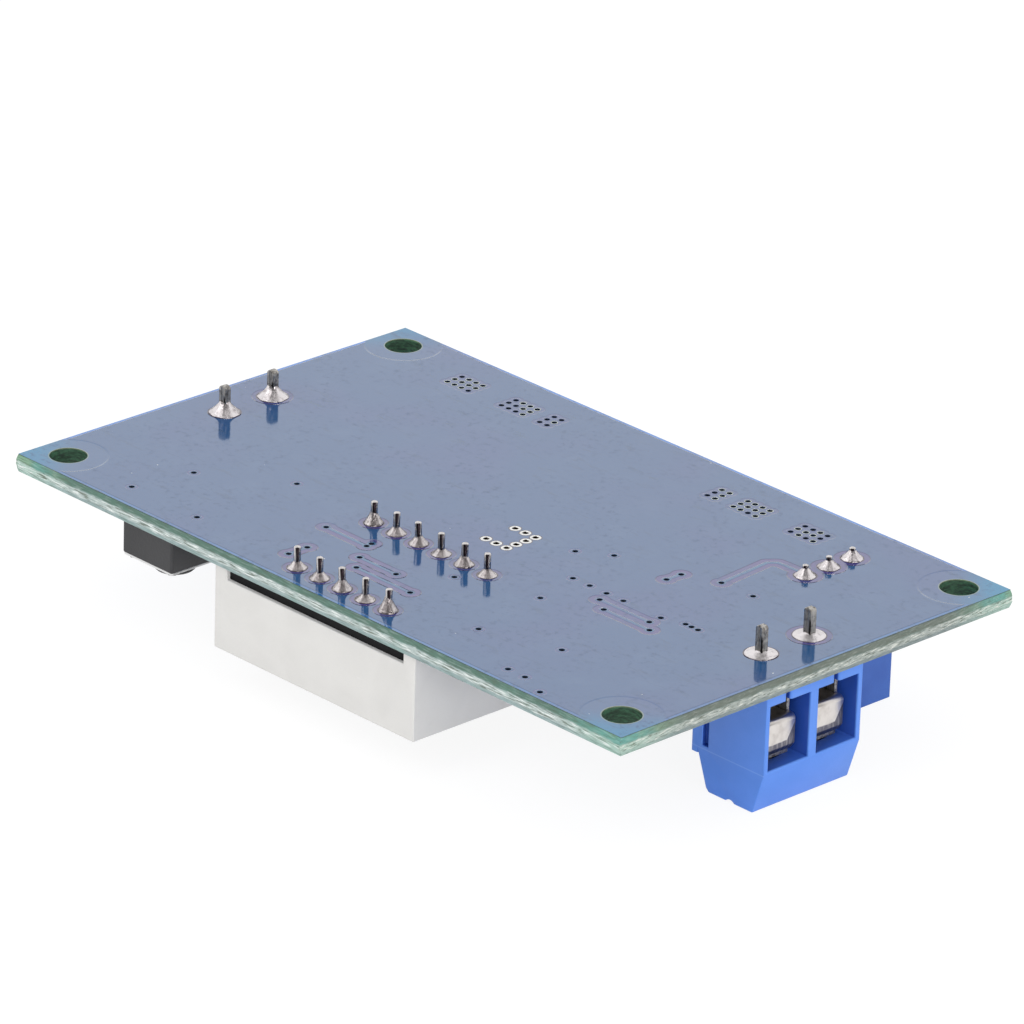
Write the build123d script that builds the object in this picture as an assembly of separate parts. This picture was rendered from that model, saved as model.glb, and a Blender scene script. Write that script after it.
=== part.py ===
from build123d import *
import math
import os

os.makedirs("parts", exist_ok=True)

# The board lies with its solder side up, in the plane z = 0, and every other piece hangs below it.
# The origin is the centre of the four corner holes.

# board
BOARD_LENGTH = 67.5
BOARD_WIDTH = 41.0
BOARD_THICK = 1.5
SCORE_DEPTH = 0.5
SCORE_OUT = 0.15
HOLE_MARGIN = 2.75
HOLE_D = 3.0
HOLE_X = BOARD_LENGTH - 2 * HOLE_MARGIN
HOLE_Y = BOARD_WIDTH - 2 * HOLE_MARGIN
SEAT = -BOARD_THICK

# heat vias in a U, open towards the input end
VIA_D = 0.5
VIA_PITCH_X = 1.13
VIA_PITCH_Y = 1.02
VIA_COUNT = 4
VIA_X = 0.0561 * BOARD_LENGTH
VIA_Y = -2.08

# shared fits
RUN_GAP = 0.05
LOOSE_GAP = 0.1
PIN_TIP = 0.12

# pins, their holes, their solder and other small repeated round forms are prisms with this many sides
SMALL_SIDES = 8
DISC_SIDES = 2 * SMALL_SIDES

# three digit display block, its long side near the board's edge
DISPLAY_X = 0.35
DISPLAY_INSET = 0.3
DISPLAY_LENGTH = 22.45
DISPLAY_WIDTH = 13.8
DISPLAY_Y = -BOARD_WIDTH / 2 + DISPLAY_INSET + DISPLAY_WIDTH / 2
DISPLAY_HEIGHT = 7.05
DISPLAY_WALL = 1.0
DISPLAY_FLOOR = 1.2
DISPLAY_SLOT_LENGTH = 19.8
DISPLAY_SLOT_HEIGHT = 1.05
DISPLAY_FILL_SUNK = 0.35
DISPLAY_LIP = 0.35
DISPLAY_PITCH = 2.54
DISPLAY_ROW_INSET = 1.82
DISPLAY_ROWS = DISPLAY_WIDTH - 2 * DISPLAY_ROW_INSET
DISPLAY_COLUMNS = 6
DISPLAY_PIN_SHIFT = -0.17
DISPLAY_PIN_D = 0.54
DISPLAY_PIN_ABOVE = 1.8
DISPLAY_PIN_INSIDE = 2.6
DISPLAY_PIN_HOLE = 0.8
DISPLAY_CONE_D = 1.53
DISPLAY_CONE_HEIGHT = 0.55
FACE_THICK = 0.3
FACE_MARGIN = 0.35
DIGIT_COUNT = 3
DIGIT_PITCH = 7.0
DIGIT_HEIGHT = 9.14
DIGIT_WIDTH = 4.8
BAR_WIDTH = 0.95
BAR_GAP = 0.12
POINT_D = 1.1

# screw terminals, in their own frame: wires enter from +X, the seat is z = 0
TERM_PITCH = 5.08
TERM_POLES = 2
TERM_LENGTH = TERM_POLES * TERM_PITCH
TERM_HEIGHT = 10.0
TERM_FRONT = 3.3
TERM_BACK = 3.75
TERM_SHOULDER = 6.65
TERM_TOP_FRONT = 2.25
TERM_TOP_BACK = 2.35
TERM_TOP_EASE = 0.3
TERM_NOTCH_R = 0.6
TERM_NOTCH_DEPTH = 0.2
TERM_NOTCH_X = -0.1
MOUTH_WIDTH = 4.24
MOUTH_BACK = 2.3
MOUTH_TOP = 6.4
SILL = 1.1
SILL_WALL = 0.55
SILL_SLOT = 0.5
SILL_SLOT_Y = -0.28
SILL_ROUND = 0.25
RIB_OUT = 0.55
RIB_WIDTH = 0.8
RIB_TOP = 7.2
DOVE_X = -2.9
DOVE_NECK = 0.6
DOVE_WIDTH = 0.85
DOVE_DEPTH = 0.5
DOVE_HEIGHT = 6.4
CAGE_WALL = 0.3
CAGE_WIDTH = 3.1
CAGE_BACK = 2.0
CAGE_FRONT = 1.7
CAGE_TAB = 0.2
CAGE_HEAD = 0.8
PIN_LONG = 0.75
PIN_SHORT = 0.62
PIN_GROOVE = 0.16
PIN_ROUND = 0.28
TERM_PIN_ABOVE = 2.3
TERM_PIN_HOLE = 1.3
TERM_DISC_D = 2.5
TERM_DISC_HEIGHT = 0.32
TERM_COLLAR_D = 1.35
LEAF_THICK = 0.4
LEAF_DROP = 2.9
LEAF_END = 5.85
LEAF_TAPER = 0.55
LEAF_WIDTH = 2.9
LEAF_SINK = 0.8
LEAF_BEND = 0.45
SCREW_D = 2.4
SCREW_HEAD_D = 3.3
SCREW_HEAD = 1.7
SCREW_SUNK = 0.6
SCREW_SLOT = 0.6
SCREW_SLOT_DEPTH = 0.8
SCREW_TIP = 0.3
SCREW_WELL_D = SCREW_HEAD_D + 2 * LOOSE_GAP
OUTPUT_X = 0.4427 * BOARD_LENGTH
OUTPUT_Y = 0.22
INPUT_X = -0.4413 * BOARD_LENGTH
INPUT_Y = -0.05

# trimmer, in its own frame: pins in a row along Y, the seat is z = 0
TRIM_X = 0.3259 * BOARD_LENGTH
TRIM_Y = 12.86
TRIM_WIDTH = 4.83
TRIM_LENGTH = 9.53
TRIM_HEIGHT = 10.25
TRIM_BODY_SHIFT = 0.25
TRIM_WALL = 0.6
TRIM_SEAL_SUNK = 0.5
TRIM_SEAL = 0.8
TRIM_PITCH = 2.54
TRIM_PINS = 3
TRIM_PIN_D = 0.5
TRIM_PIN_ABOVE = 0.9
TRIM_PIN_INSIDE = 2.0
TRIM_PIN_HOLE = 0.9
TRIM_CONE_D = 1.74
TRIM_CONE_HEIGHT = 0.6
STRIP_THICK = 0.6
WORM_D = 1.4
WORM_X = 0.9
WORM_Y = -3.2
KNOB_D = 2.3
KNOB_HEIGHT = 1.1
KNOB_SLOT = 0.5
WHEEL_D = 5.6
WHEEL_THICK = 1.4
WIPER_D = 0.7

# push button, in its own frame: centre on z, the seat is z = 0
BUTTON_X = -0.2867 * BOARD_LENGTH
BUTTON_Y = -16.8
BUTTON_SIDE = 5.8
BUTTON_BODY = 3.1
BUTTON_ROUND = 0.25
BUTTON_TOTAL = 4.3
BUTTON_FLOOR = 0.75
BUTTON_WELL_D = 4.3
COVER_THICK = 0.2
COVER_SIDE = 5.7
PLUNGER_D = 3.3
PLUNGER_FLANGE_D = 3.9
PLUNGER_FLANGE = 0.5
PLUNGER_NUB_D = 1.2
PLUNGER_EASE = 0.15
STAKE_AT = 2.2
STAKE_D = 0.9
STAKE_HEAD = 0.2
DOME_D = 3.8
DOME_CROWN_D = 1.6
DOME_RISE = 0.55
DOME_THICK = 0.12
LEG_WIDTH = 0.7
LEG_THICK = 0.2
LEG_OUT = 1.0
LEG_LIFT = 0.7
LEG_Y = 2.25

# power inductor
INDUCTOR_X = -0.0393 * BOARD_LENGTH
INDUCTOR_Y = 13.4
INDUCTOR_SIDE = 12.0
INDUCTOR_CORNER = 2.4
INDUCTOR_BASE = 0.7
INDUCTOR_SLEEVE = 7.0
INDUCTOR_BORE_D = 9.8
INDUCTOR_FLANGE = 1.2
INDUCTOR_HUB_D = 5.0
WINDING_D = 9.0
CLIP_WIDTH = 5.0
CLIP_THICK = 0.3

# can capacitors
CAN_X = (-0.2793 * BOARD_LENGTH, 0.2007 * BOARD_LENGTH)
CAN_Y = 16.2
CAN_D = 8.0
CAN_HEIGHT = 8.6
CAN_ROUND = 0.5
CAN_BEAD = 0.25
CAN_BASE_SIDE = 8.3
CAN_BASE = 1.5
CAN_CUT = 1.8
CAN_LEAD_WIDTH = 0.8
CAN_LEAD_THICK = 0.25
CAN_LEAD_OUT = 0.6
CAN_LEAD_START = 1.0

# converter chip, legs towards +X
CONVERTER_X = -0.0585 * BOARD_LENGTH
CONVERTER_Y = 1.3
CONVERTER_LENGTH = 8.7
CONVERTER_WIDTH = 10.2
CONVERTER_HEIGHT = 4.4
TAB_THICK = 1.27
TAB_OUT = 1.6
TAB_UNDER = 6.0
TAB_WIDTH = 9.4
CONVERTER_LEGS = 5
CONVERTER_LEG_PITCH = 1.7
CONVERTER_LEG_WIDTH = 0.8
CONVERTER_LEG_THICK = 0.5
CONVERTER_LEG_OUT = 4.6
CONVERTER_LEG_FOOT = 2.2
CONVERTER_LEG_LIFT = 2.6

# rectifier
RECTIFIER_X = 0.1526 * BOARD_LENGTH
RECTIFIER_Y = 7.0
RECTIFIER_LENGTH = 6.9
RECTIFIER_WIDTH = 5.9
RECTIFIER_HEIGHT = 2.3
RECTIFIER_DRAFT = 0.3
RECTIFIER_LEG_WIDTH = 3.0
RECTIFIER_LEG_THICK = 0.25
RECTIFIER_LEG_RISE = 1.1
RECTIFIER_LEG_UNDER = 1.2

# display driver
DRIVER_X = 0.2044 * BOARD_LENGTH
DRIVER_Y = -0.55
DRIVER_LENGTH = 6.5
DRIVER_WIDTH = 4.4
DRIVER_HEIGHT = 1.0
DRIVER_LIFT = 0.1
DRIVER_LEGS = 10
DRIVER_LEG_PITCH = 0.65
DRIVER_LEG_WIDTH = 0.24
DRIVER_LEG_THICK = 0.15
DRIVER_LEG_OUT = 1.0
DRIVER_LEG_FOOT = 0.5

# small regulator
REGULATOR_X = -0.3037 * BOARD_LENGTH
REGULATOR_Y = -9.0
REGULATOR_LENGTH = 4.5
REGULATOR_WIDTH = 2.5
REGULATOR_HEIGHT = 1.5
REGULATOR_LEG_THICK = 0.4
REGULATOR_LEG_PITCH = 1.5
REGULATOR_LEG_WIDTH = 0.45
REGULATOR_LEG_OUT = 0.9
REGULATOR_TAB_WIDTH = 1.7
REGULATOR_TAB_OUT = 0.7

# chip parts: share of the board's length, y and quarter turns of each
BIG_CAP_SIZE = (3.2, 1.6, 1.2)
BIG_CAPS = ((-0.1785, 14.9, 1), (0.1007, 14.9, 1), (-0.243, 1.5, 1), (0.2756, 4.6, 1))
SMALL_RES_SIZE = (2.0, 1.25, 0.5)
SMALL_RES_COLUMNS = 4
SMALL_RES_ROWS = 2
SMALL_RES_X = 0.2133 * BOARD_LENGTH
SMALL_RES_Y = -8.2
SMALL_RES_PITCH_X = 0.0563 * BOARD_LENGTH
SMALL_RES_PITCH_Y = 1.9
CHIP_END = 0.4
CHIP_SKIN = 0.04
LIGHT_SIZE = (2.0, 1.25, 0.3)
LIGHT_LENS = 0.5
LIGHT_LENS_SHARE = 0.6
LIGHTS = ((-0.3926, -9.4), (0.4341, -9.4))


def block(x0, x1, y0, y1, z0, z1):
    centre = Pos((x0 + x1) / 2, (y0 + y1) / 2, (z0 + z1) / 2)
    return centre * Box(abs(x1 - x0), abs(y1 - y0), abs(z1 - z0))


def rod(radius, z0, z1, x=0.0, y=0.0):
    return Pos(x, y, (z0 + z1) / 2) * Cylinder(radius, abs(z1 - z0))


def prism(d, z0, z1, x=0.0, y=0.0):
    """A slim upright prism that stands for a small round form of diameter d."""
    return Pos(x, y, z0) * extrude(RegularPolygon(d / 2, SMALL_SIDES), amount=z1 - z0)


def bar(points, plane, half):
    """A prism with the given outline, half its length each way from the plane."""
    outline = make_face(plane * Polyline(*points, close=True))
    return extrude(outline, amount=half, both=True)


def turned(points):
    """A solid of revolution about Z from an outline of radius and height."""
    return revolve(make_face(Plane.XZ * Polyline(*points, close=True)), Axis.Z)


def row(count, pitch):
    return [(i - (count - 1) / 2) * pitch for i in range(count)]


def group(solids):
    return Compound(children=[s for shape in solids for s in shape.solids()])


def save(node, shape):
    export_step(group([shape]), f"parts/{node}.step")


def display_pin_places():
    """Six pins along the far row, five along the near row, which starts one column later."""
    columns = [DISPLAY_X + DISPLAY_PIN_SHIFT + x for x in row(DISPLAY_COLUMNS, DISPLAY_PITCH)]
    far = [(x, DISPLAY_Y + DISPLAY_ROWS / 2) for x in columns]
    near = [(x, DISPLAY_Y - DISPLAY_ROWS / 2) for x in columns[1:]]
    return far + near


def trimmer_pin_places():
    return [(TRIM_X, TRIM_Y + y) for y in row(TRIM_PINS, TRIM_PITCH)]


def corner_places(x, y):
    return [(sx * x, sy * y) for sx in (-1, 1) for sy in (-1, 1)]


def terminal_pin_places(x, y):
    return [(x, y + dy) for dy in row(TERM_POLES, TERM_PITCH)]


def via_places():
    """Vias along three sides of a square, with the fourth side open."""
    last = VIA_COUNT - 1
    places = []
    reach = last / 2 * VIA_PITCH_Y
    for y in row(VIA_COUNT, VIA_PITCH_Y):
        places.append((VIA_X, VIA_Y + y))
    for i in range(1, last):
        places.append((VIA_X - i * VIA_PITCH_X, VIA_Y - reach))
        places.append((VIA_X - i * VIA_PITCH_X, VIA_Y + reach))
    return places


def snapped_outline(half):
    """Board edge snapped along a V groove: bevel, broken web, bevel."""
    out = half + SCORE_OUT
    low = BOARD_THICK - SCORE_DEPTH
    right = [(half, 0), (out, -SCORE_DEPTH), (out, -low), (half, -BOARD_THICK)]
    return right + [(-x, z) for x, z in reversed(right)]


def circuit_board():
    reach = max(BOARD_LENGTH, BOARD_WIDTH)
    along = bar(snapped_outline(BOARD_LENGTH / 2), Plane.XZ, reach)
    across = bar(snapped_outline(BOARD_WIDTH / 2), Plane.YZ, reach)
    board = along & across
    holes = [(x, y, HOLE_D) for x, y in corner_places(HOLE_X / 2, HOLE_Y / 2)]
    holes += [(x, y, TERM_PIN_HOLE) for x, y in terminal_pin_places(OUTPUT_X, OUTPUT_Y)]
    holes += [(x, y, TERM_PIN_HOLE) for x, y in terminal_pin_places(INPUT_X, INPUT_Y)]
    for x, y, d in holes:
        board -= rod(d / 2, SEAT - 1, 1, x, y)
    small = [(x, y, DISPLAY_PIN_HOLE) for x, y in display_pin_places()]
    small += [(x, y, TRIM_PIN_HOLE) for x, y in trimmer_pin_places()]
    small += [(x, y, VIA_D) for x, y in via_places()]
    for x, y, d in small:
        board -= prism(d, SEAT - 1, 1, x, y)
    return board


def tapered(low_d, high_d, height, sides):
    """A prism that narrows upwards from the first diameter to the second."""
    inset = (low_d - high_d) / 2 * math.cos(math.pi / sides)
    lean = math.degrees(math.atan2(inset, height))
    return extrude(RegularPolygon(low_d / 2, sides), amount=height, taper=lean)


def solder_cone(pin_d, base_d, height):
    """Solder drawn up round a pin: a wide skirt under a steep collar."""
    waist_d = pin_d + (base_d - pin_d) / 3
    skirt = tapered(base_d, waist_d, height / 2, SMALL_SIDES)
    collar = tapered(waist_d, pin_d + 2 * RUN_GAP, height / 2, SMALL_SIDES)
    return skirt + Pos(0, 0, height / 2) * collar - prism(pin_d, -1, height + 1)


def round_pins(places, d, above, inside):
    pin = prism(d, SEAT - inside, above)
    pin = chamfer(pin.faces().sort_by(Axis.Z)[-1].edges(), PIN_TIP)
    return group([Pos(x, y, 0) * pin for x, y in places])


def cones(places, pin_d, base_d, height):
    cone = solder_cone(pin_d, base_d, height)
    return group([Pos(x, y, 0) * cone for x, y in places])


def display_cavity():
    """The hollow behind the display's face, open towards the board."""
    half_x = DISPLAY_LENGTH / 2 - DISPLAY_WALL
    half_y = DISPLAY_WIDTH / 2 - DISPLAY_WALL
    return block(-half_x, half_x, -half_y, half_y, -DISPLAY_HEIGHT + FACE_THICK + DISPLAY_FLOOR, 0)


def display_housing():
    """Pale shell: hollow at the back, a slot in each long side, a sunk tray for the face."""
    half_x = DISPLAY_LENGTH / 2
    half_y = DISPLAY_WIDTH / 2
    shell = block(-half_x, half_x, -half_y, half_y, -DISPLAY_HEIGHT, 0) - display_cavity()
    slot = DISPLAY_SLOT_LENGTH / 2
    shell -= block(-slot, slot, -half_y - 1, half_y + 1, -DISPLAY_SLOT_HEIGHT, 1)
    tray_x = half_x - FACE_MARGIN
    tray_y = half_y - FACE_MARGIN
    shell -= block(-tray_x, tray_x, -tray_y, tray_y, -DISPLAY_HEIGHT - 1, -DISPLAY_HEIGHT + FACE_THICK)
    return Pos(DISPLAY_X, DISPLAY_Y, SEAT) * shell


def display_filling():
    """Dark resin that fills the hollow, stands in both slots and holds the pins."""
    slot = DISPLAY_SLOT_LENGTH / 2
    reach = DISPLAY_WIDTH / 2 - DISPLAY_LIP
    cavity = display_cavity() + block(-slot, slot, -reach, reach, -DISPLAY_SLOT_HEIGHT, 0)
    top = block(-DISPLAY_LENGTH, DISPLAY_LENGTH, -DISPLAY_WIDTH, DISPLAY_WIDTH, -DISPLAY_FILL_SUNK, 1)
    filling = Pos(DISPLAY_X, DISPLAY_Y, SEAT) * (cavity - top)
    for x, y in display_pin_places():
        filling -= prism(DISPLAY_PIN_D, SEAT - DISPLAY_PIN_INSIDE, 0, x, y)
    return filling


def bar_outline(length):
    """One light bar lying along X: a slim hexagon."""
    half = length / 2
    w = BAR_WIDTH / 2
    return [(-half, 0), (-half + w, w), (half - w, w), (half, 0), (half - w, -w), (-half + w, -w)]


def digit_faces():
    """Seven bars and a point of one digit, seen from behind."""
    reach_x = DIGIT_WIDTH - BAR_WIDTH
    reach_y = (DIGIT_HEIGHT - BAR_WIDTH) / 2
    flat = make_face(Polyline(*bar_outline(reach_x - BAR_GAP), close=True))
    upright = Rot(0, 0, 90) * make_face(Polyline(*bar_outline(reach_y - BAR_GAP), close=True))
    faces = [Pos(0, y, 0) * flat for y in (-reach_y, 0, reach_y)]
    faces += [Pos(x, y, 0) * upright for x in (-reach_x / 2, reach_x / 2) for y in (-reach_y / 2, reach_y / 2)]
    point_x = -(DIGIT_WIDTH + POINT_D) / 2 - BAR_GAP
    faces.append(Pos(point_x, -DIGIT_HEIGHT / 2 + POINT_D / 2, 0) * Rectangle(POINT_D, POINT_D))
    return faces


def display_bars():
    solids = []
    low = SEAT - DISPLAY_HEIGHT
    for dx in row(DIGIT_COUNT, DIGIT_PITCH):
        for face in digit_faces():
            solids.append(Pos(DISPLAY_X + dx, DISPLAY_Y, low) * extrude(face, amount=FACE_THICK))
    return group(solids)


def display_face(bars):
    half_x = DISPLAY_LENGTH / 2 - FACE_MARGIN
    half_y = DISPLAY_WIDTH / 2 - FACE_MARGIN
    plate = block(-half_x, half_x, -half_y, half_y, -DISPLAY_HEIGHT, -DISPLAY_HEIGHT + FACE_THICK)
    return Pos(DISPLAY_X, DISPLAY_Y, SEAT) * plate - bars


def poles():
    return row(TERM_POLES, TERM_PITCH)


def terminal_outline():
    """End view of the terminal: upright below its shoulders, narrowing towards the screws."""
    return [
        (-TERM_BACK, 0),
        (TERM_FRONT, 0),
        (TERM_FRONT, -TERM_SHOULDER),
        (TERM_TOP_FRONT, -TERM_HEIGHT),
        (-TERM_TOP_BACK, -TERM_HEIGHT),
        (-TERM_TOP_BACK - TERM_TOP_EASE, -TERM_HEIGHT + TERM_TOP_EASE),
        (-TERM_BACK, -TERM_SHOULDER),
    ]


def dovetail(y, outward, ease):
    """Upright dovetail that widens away from the end face at y."""
    neck = DOVE_NECK / 2 - ease
    wide = DOVE_WIDTH / 2 - ease
    far = y + outward * (DOVE_DEPTH - ease)
    points = [(DOVE_X - neck, y), (DOVE_X + neck, y), (DOVE_X + wide, far), (DOVE_X - wide, far)]
    outline = make_face(Polyline(*points, close=True))
    return extrude(outline, amount=-DOVE_HEIGHT)


def terminal_housing():
    """Blue body with a mouth, a screw well and a slotted sill for each pole."""
    end = TERM_LENGTH / 2
    body = bar(terminal_outline(), Plane.XZ, end)
    body += block(-TERM_BACK - RIB_OUT, -TERM_BACK + 0.1, -end, -end + RIB_WIDTH, -RIB_TOP, -SILL)
    body += block(-TERM_BACK - RIB_OUT, -TERM_BACK + 0.1, end - RIB_WIDTH, end, -RIB_TOP, -SILL)
    body -= dovetail(-end, 1, 0)
    body += dovetail(end, 1, RUN_GAP)
    notch_z = -TERM_HEIGHT - TERM_NOTCH_R + TERM_NOTCH_DEPTH
    body -= Pos(TERM_NOTCH_X, 0, notch_z) * Rot(90, 0, 0) * Cylinder(TERM_NOTCH_R, TERM_LENGTH + 1)
    for y in poles():
        low = y - MOUTH_WIDTH / 2
        high = y + MOUTH_WIDTH / 2
        body -= block(-MOUTH_BACK, TERM_FRONT + 1, low, high, -MOUTH_TOP, -SILL)
        body -= block(CAGE_FRONT - CAGE_WALL, TERM_FRONT - SILL_WALL, low, high, -SILL - 1, 1)
        body -= sill_slot(y + SILL_SLOT_Y)
        body -= rod(SCREW_WELL_D / 2, -TERM_HEIGHT - 1, -MOUTH_TOP, 0, y)
        body -= block(-PIN_LONG / 2, PIN_LONG / 2, y - PIN_SHORT / 2, y + PIN_SHORT / 2, -SILL, 1)
    return body


def sill_slot(y):
    """Slot through the sill's thin wall, with a rounded edge on its far side."""
    half = SILL_SLOT / 2
    back = TERM_FRONT - SILL_WALL - 1
    front = TERM_FRONT + 1
    slot = block(back, front, y - half, y + half, -SILL - 1, 1)
    corner = block(TERM_FRONT - SILL_ROUND, front, y + half - 0.01, y + half + SILL_ROUND, -SILL - 1, 1)
    return slot + (corner - rod(SILL_ROUND, -SILL - 2, 2, TERM_FRONT - SILL_ROUND, y + half + SILL_ROUND))


def folded_pin(top, bottom):
    """Pin folded from strip: a groove down each broad side and a rounded tip."""
    pin = block(-PIN_LONG / 2, PIN_LONG / 2, -PIN_SHORT / 2, PIN_SHORT / 2, bottom, top)
    tips = pin.edges().filter_by(Axis.Y).sort_by(Axis.Z)[-2:]
    pin = fillet(tips, PIN_ROUND)
    for side in (-1, 1):
        edge = side * PIN_SHORT / 2
        g = PIN_GROOVE / 2
        groove = [(-g, edge), (g, edge), (0, edge - side * g)]
        outline = make_face(Polyline(*groove, close=True))
        pin -= Pos(0, 0, bottom) * extrude(outline, amount=top - bottom)
    return pin


def terminal_contacts():
    """Fixed cage of each pole: open in front, tapped at its head, one piece with its pin."""
    cages = []
    half = CAGE_WIDTH / 2
    for y in poles():
        cage = block(-CAGE_BACK, CAGE_FRONT, y - half, y + half, -MOUTH_TOP, -SILL)
        inner = half - CAGE_WALL
        hollow_top = -MOUTH_TOP + CAGE_HEAD
        cage -= block(-CAGE_BACK + CAGE_WALL, CAGE_FRONT + 1, y - inner, y + inner, hollow_top, -SILL - CAGE_WALL)
        cage -= rod(SCREW_D / 2 + RUN_GAP, -MOUTH_TOP - 1, hollow_top, 0, y)
        for side in (-1, 1):
            wall = sorted((y + side * inner, y + side * half))
            cage += block(CAGE_FRONT - CAGE_WALL, CAGE_FRONT, wall[0], wall[1], -SILL - CAGE_WALL, -CAGE_TAB)
        pin = Pos(0, y, 0) * folded_pin(BOARD_THICK + TERM_PIN_ABOVE, -SILL - CAGE_WALL / 2)
        cages.append(cage + pin)
    return group(cages)


def solder_disc():
    """Flat solder round a terminal pin, drawn up a little where it meets the pin."""
    h = TERM_DISC_HEIGHT
    skirt = tapered(TERM_DISC_D, TERM_COLLAR_D, h / 2, DISC_SIDES)
    collar = tapered(TERM_COLLAR_D, PIN_LONG + PIN_ROUND, h / 2, DISC_SIDES)
    disc = skirt + Pos(0, 0, h / 2) * collar
    return disc - block(-PIN_LONG / 2, PIN_LONG / 2, -PIN_SHORT / 2, PIN_SHORT / 2, -1, h + 1)


def terminal_solder():
    return group([Pos(0, y, BOARD_THICK) * solder_disc() for y in poles()])


def clamp_leaf():
    """Bent clamp leaf: one leg under the screw, the other down in front of the cage."""
    front = TERM_FRONT - LEAF_SINK
    back = -CAGE_BACK + CAGE_WALL + LOOSE_GAP
    inside = front - LEAF_THICK
    points = [
        (back, -LEAF_DROP),
        (front, -LEAF_DROP),
        (front, -LEAF_END + LEAF_TAPER),
        (inside, -LEAF_END),
        (inside, -LEAF_DROP - LEAF_THICK),
        (back, -LEAF_DROP - LEAF_THICK),
    ]
    leaf = bar(points, Plane.XZ, LEAF_WIDTH / 2)
    bends = leaf.edges().filter_by(Axis.Y).sort_by(Axis.Z)
    corner = [e for e in bends if e.center().X > front - 0.01 and e.center().Z > -LEAF_DROP - 0.01]
    leaf = fillet(corner, LEAF_BEND)
    leg = CAGE_WIDTH / 2 - CAGE_WALL - LOOSE_GAP
    for side in (-1, 1):
        wide = sorted((side * leg, side * LEAF_WIDTH))
        leaf -= block(back - 1, CAGE_FRONT + LOOSE_GAP, wide[0], wide[1], -LEAF_END, 0)
    return leaf


def clamp_screw():
    """Slotted screw: its tip bears on the leaf, its shank runs in the cage's tapped head."""
    head_top = -TERM_HEIGHT + SCREW_SUNK
    head_low = head_top + SCREW_HEAD
    tip = -LEAF_DROP - LEAF_THICK
    screw = rod(SCREW_D / 2, head_low, tip)
    screw = chamfer(screw.edges().sort_by(Axis.Z)[-1], SCREW_TIP)
    screw += rod(SCREW_HEAD_D / 2, head_top, head_low)
    half = SCREW_SLOT / 2
    return screw - block(-SCREW_HEAD_D, SCREW_HEAD_D, -half, half, head_top - 1, head_top + SCREW_SLOT_DEPTH)


def save_terminal(name, place):
    save(f"{name}_housing", place * terminal_housing())
    save(f"{name}_contacts", place * terminal_contacts())
    save(f"{name}_solder", place * terminal_solder())
    for i, y in enumerate(poles(), start=1):
        save(f"{name}_leaf_{i}", place * Pos(0, y, 0) * clamp_leaf())
        save(f"{name}_screw_{i}", place * Pos(0, y, 0) * clamp_screw())


def trimmer_place():
    """The box sits a little off the middle of its row of pins."""
    return Pos(TRIM_X, TRIM_Y + TRIM_BODY_SHIFT, SEAT)


def trimmer_cavity():
    half_x = TRIM_WIDTH / 2 - TRIM_WALL
    half_y = TRIM_LENGTH / 2 - TRIM_WALL
    return block(-half_x, half_x, -half_y, half_y, -TRIM_HEIGHT + KNOB_HEIGHT, 0)


def trimmer_housing():
    """Blue box: hollow behind the seal, with a well for the screw."""
    half_x = TRIM_WIDTH / 2
    half_y = TRIM_LENGTH / 2
    box = block(-half_x, half_x, -half_y, half_y, -TRIM_HEIGHT, 0) - trimmer_cavity()
    box -= rod(KNOB_D / 2 + RUN_GAP, -TRIM_HEIGHT - 1, -TRIM_HEIGHT + KNOB_HEIGHT, WORM_X, WORM_Y)
    return trimmer_place() * box


def trimmer_seal():
    cavity = trimmer_cavity()
    band = block(-TRIM_WIDTH, TRIM_WIDTH, -TRIM_LENGTH, TRIM_LENGTH, -TRIM_SEAL_SUNK - TRIM_SEAL, -TRIM_SEAL_SUNK)
    seal = trimmer_place() * (cavity & band)
    for x, y in trimmer_pin_places():
        seal -= prism(TRIM_PIN_D, SEAT - TRIM_PIN_INSIDE, 0, x, y)
    return seal


def trimmer_strip():
    """Ceramic strip that carries the resistance track, flat against the back wall."""
    back = -TRIM_WIDTH / 2 + TRIM_WALL
    half_y = TRIM_LENGTH / 2 - TRIM_WALL - LOOSE_GAP
    top = -TRIM_SEAL_SUNK - TRIM_SEAL
    strip = block(back, back + STRIP_THICK, -half_y, half_y, -TRIM_HEIGHT + 2 * TRIM_WALL, top)
    return trimmer_place() * strip


def trimmer_wheel():
    """Wiper wheel: its rim meets the worm, its wiper slides on the ceramic strip."""
    face = -TRIM_WIDTH / 2 + TRIM_WALL + STRIP_THICK + RUN_GAP
    back = TRIM_WIDTH / 2 - TRIM_WALL - LOOSE_GAP
    low = back - WHEEL_THICK
    wheel = Pos((low + back) / 2, wheel_y(), wheel_z()) * Rot(0, 90, 0) * Cylinder(WHEEL_D / 2, WHEEL_THICK)
    wiper = Pos((face + low) / 2 + 0.01, wheel_y(), wheel_z() + WHEEL_D / 3) * Rot(0, 90, 0)
    wheel += wiper * Cylinder(WIPER_D / 2, low - face + 0.02)
    return trimmer_place() * wheel


def wheel_y():
    return WORM_Y + WORM_D / 2 + LOOSE_GAP + WHEEL_D / 2


def wheel_z():
    return -TRIM_HEIGHT / 2


def trimmer_screw():
    """Worm with a slotted brass head, flush in its well."""
    shoulder = -TRIM_HEIGHT + KNOB_HEIGHT
    worm_end = -TRIM_SEAL_SUNK - TRIM_SEAL - LOOSE_GAP
    screw = rod(KNOB_D / 2, -TRIM_HEIGHT, shoulder) + rod(WORM_D / 2, shoulder, worm_end)
    half = KNOB_SLOT / 2
    screw -= block(-KNOB_D, KNOB_D, -half, half, -TRIM_HEIGHT - 1, -TRIM_HEIGHT + KNOB_SLOT)
    return trimmer_place() * Pos(WORM_X, WORM_Y, 0) * screw


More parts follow.
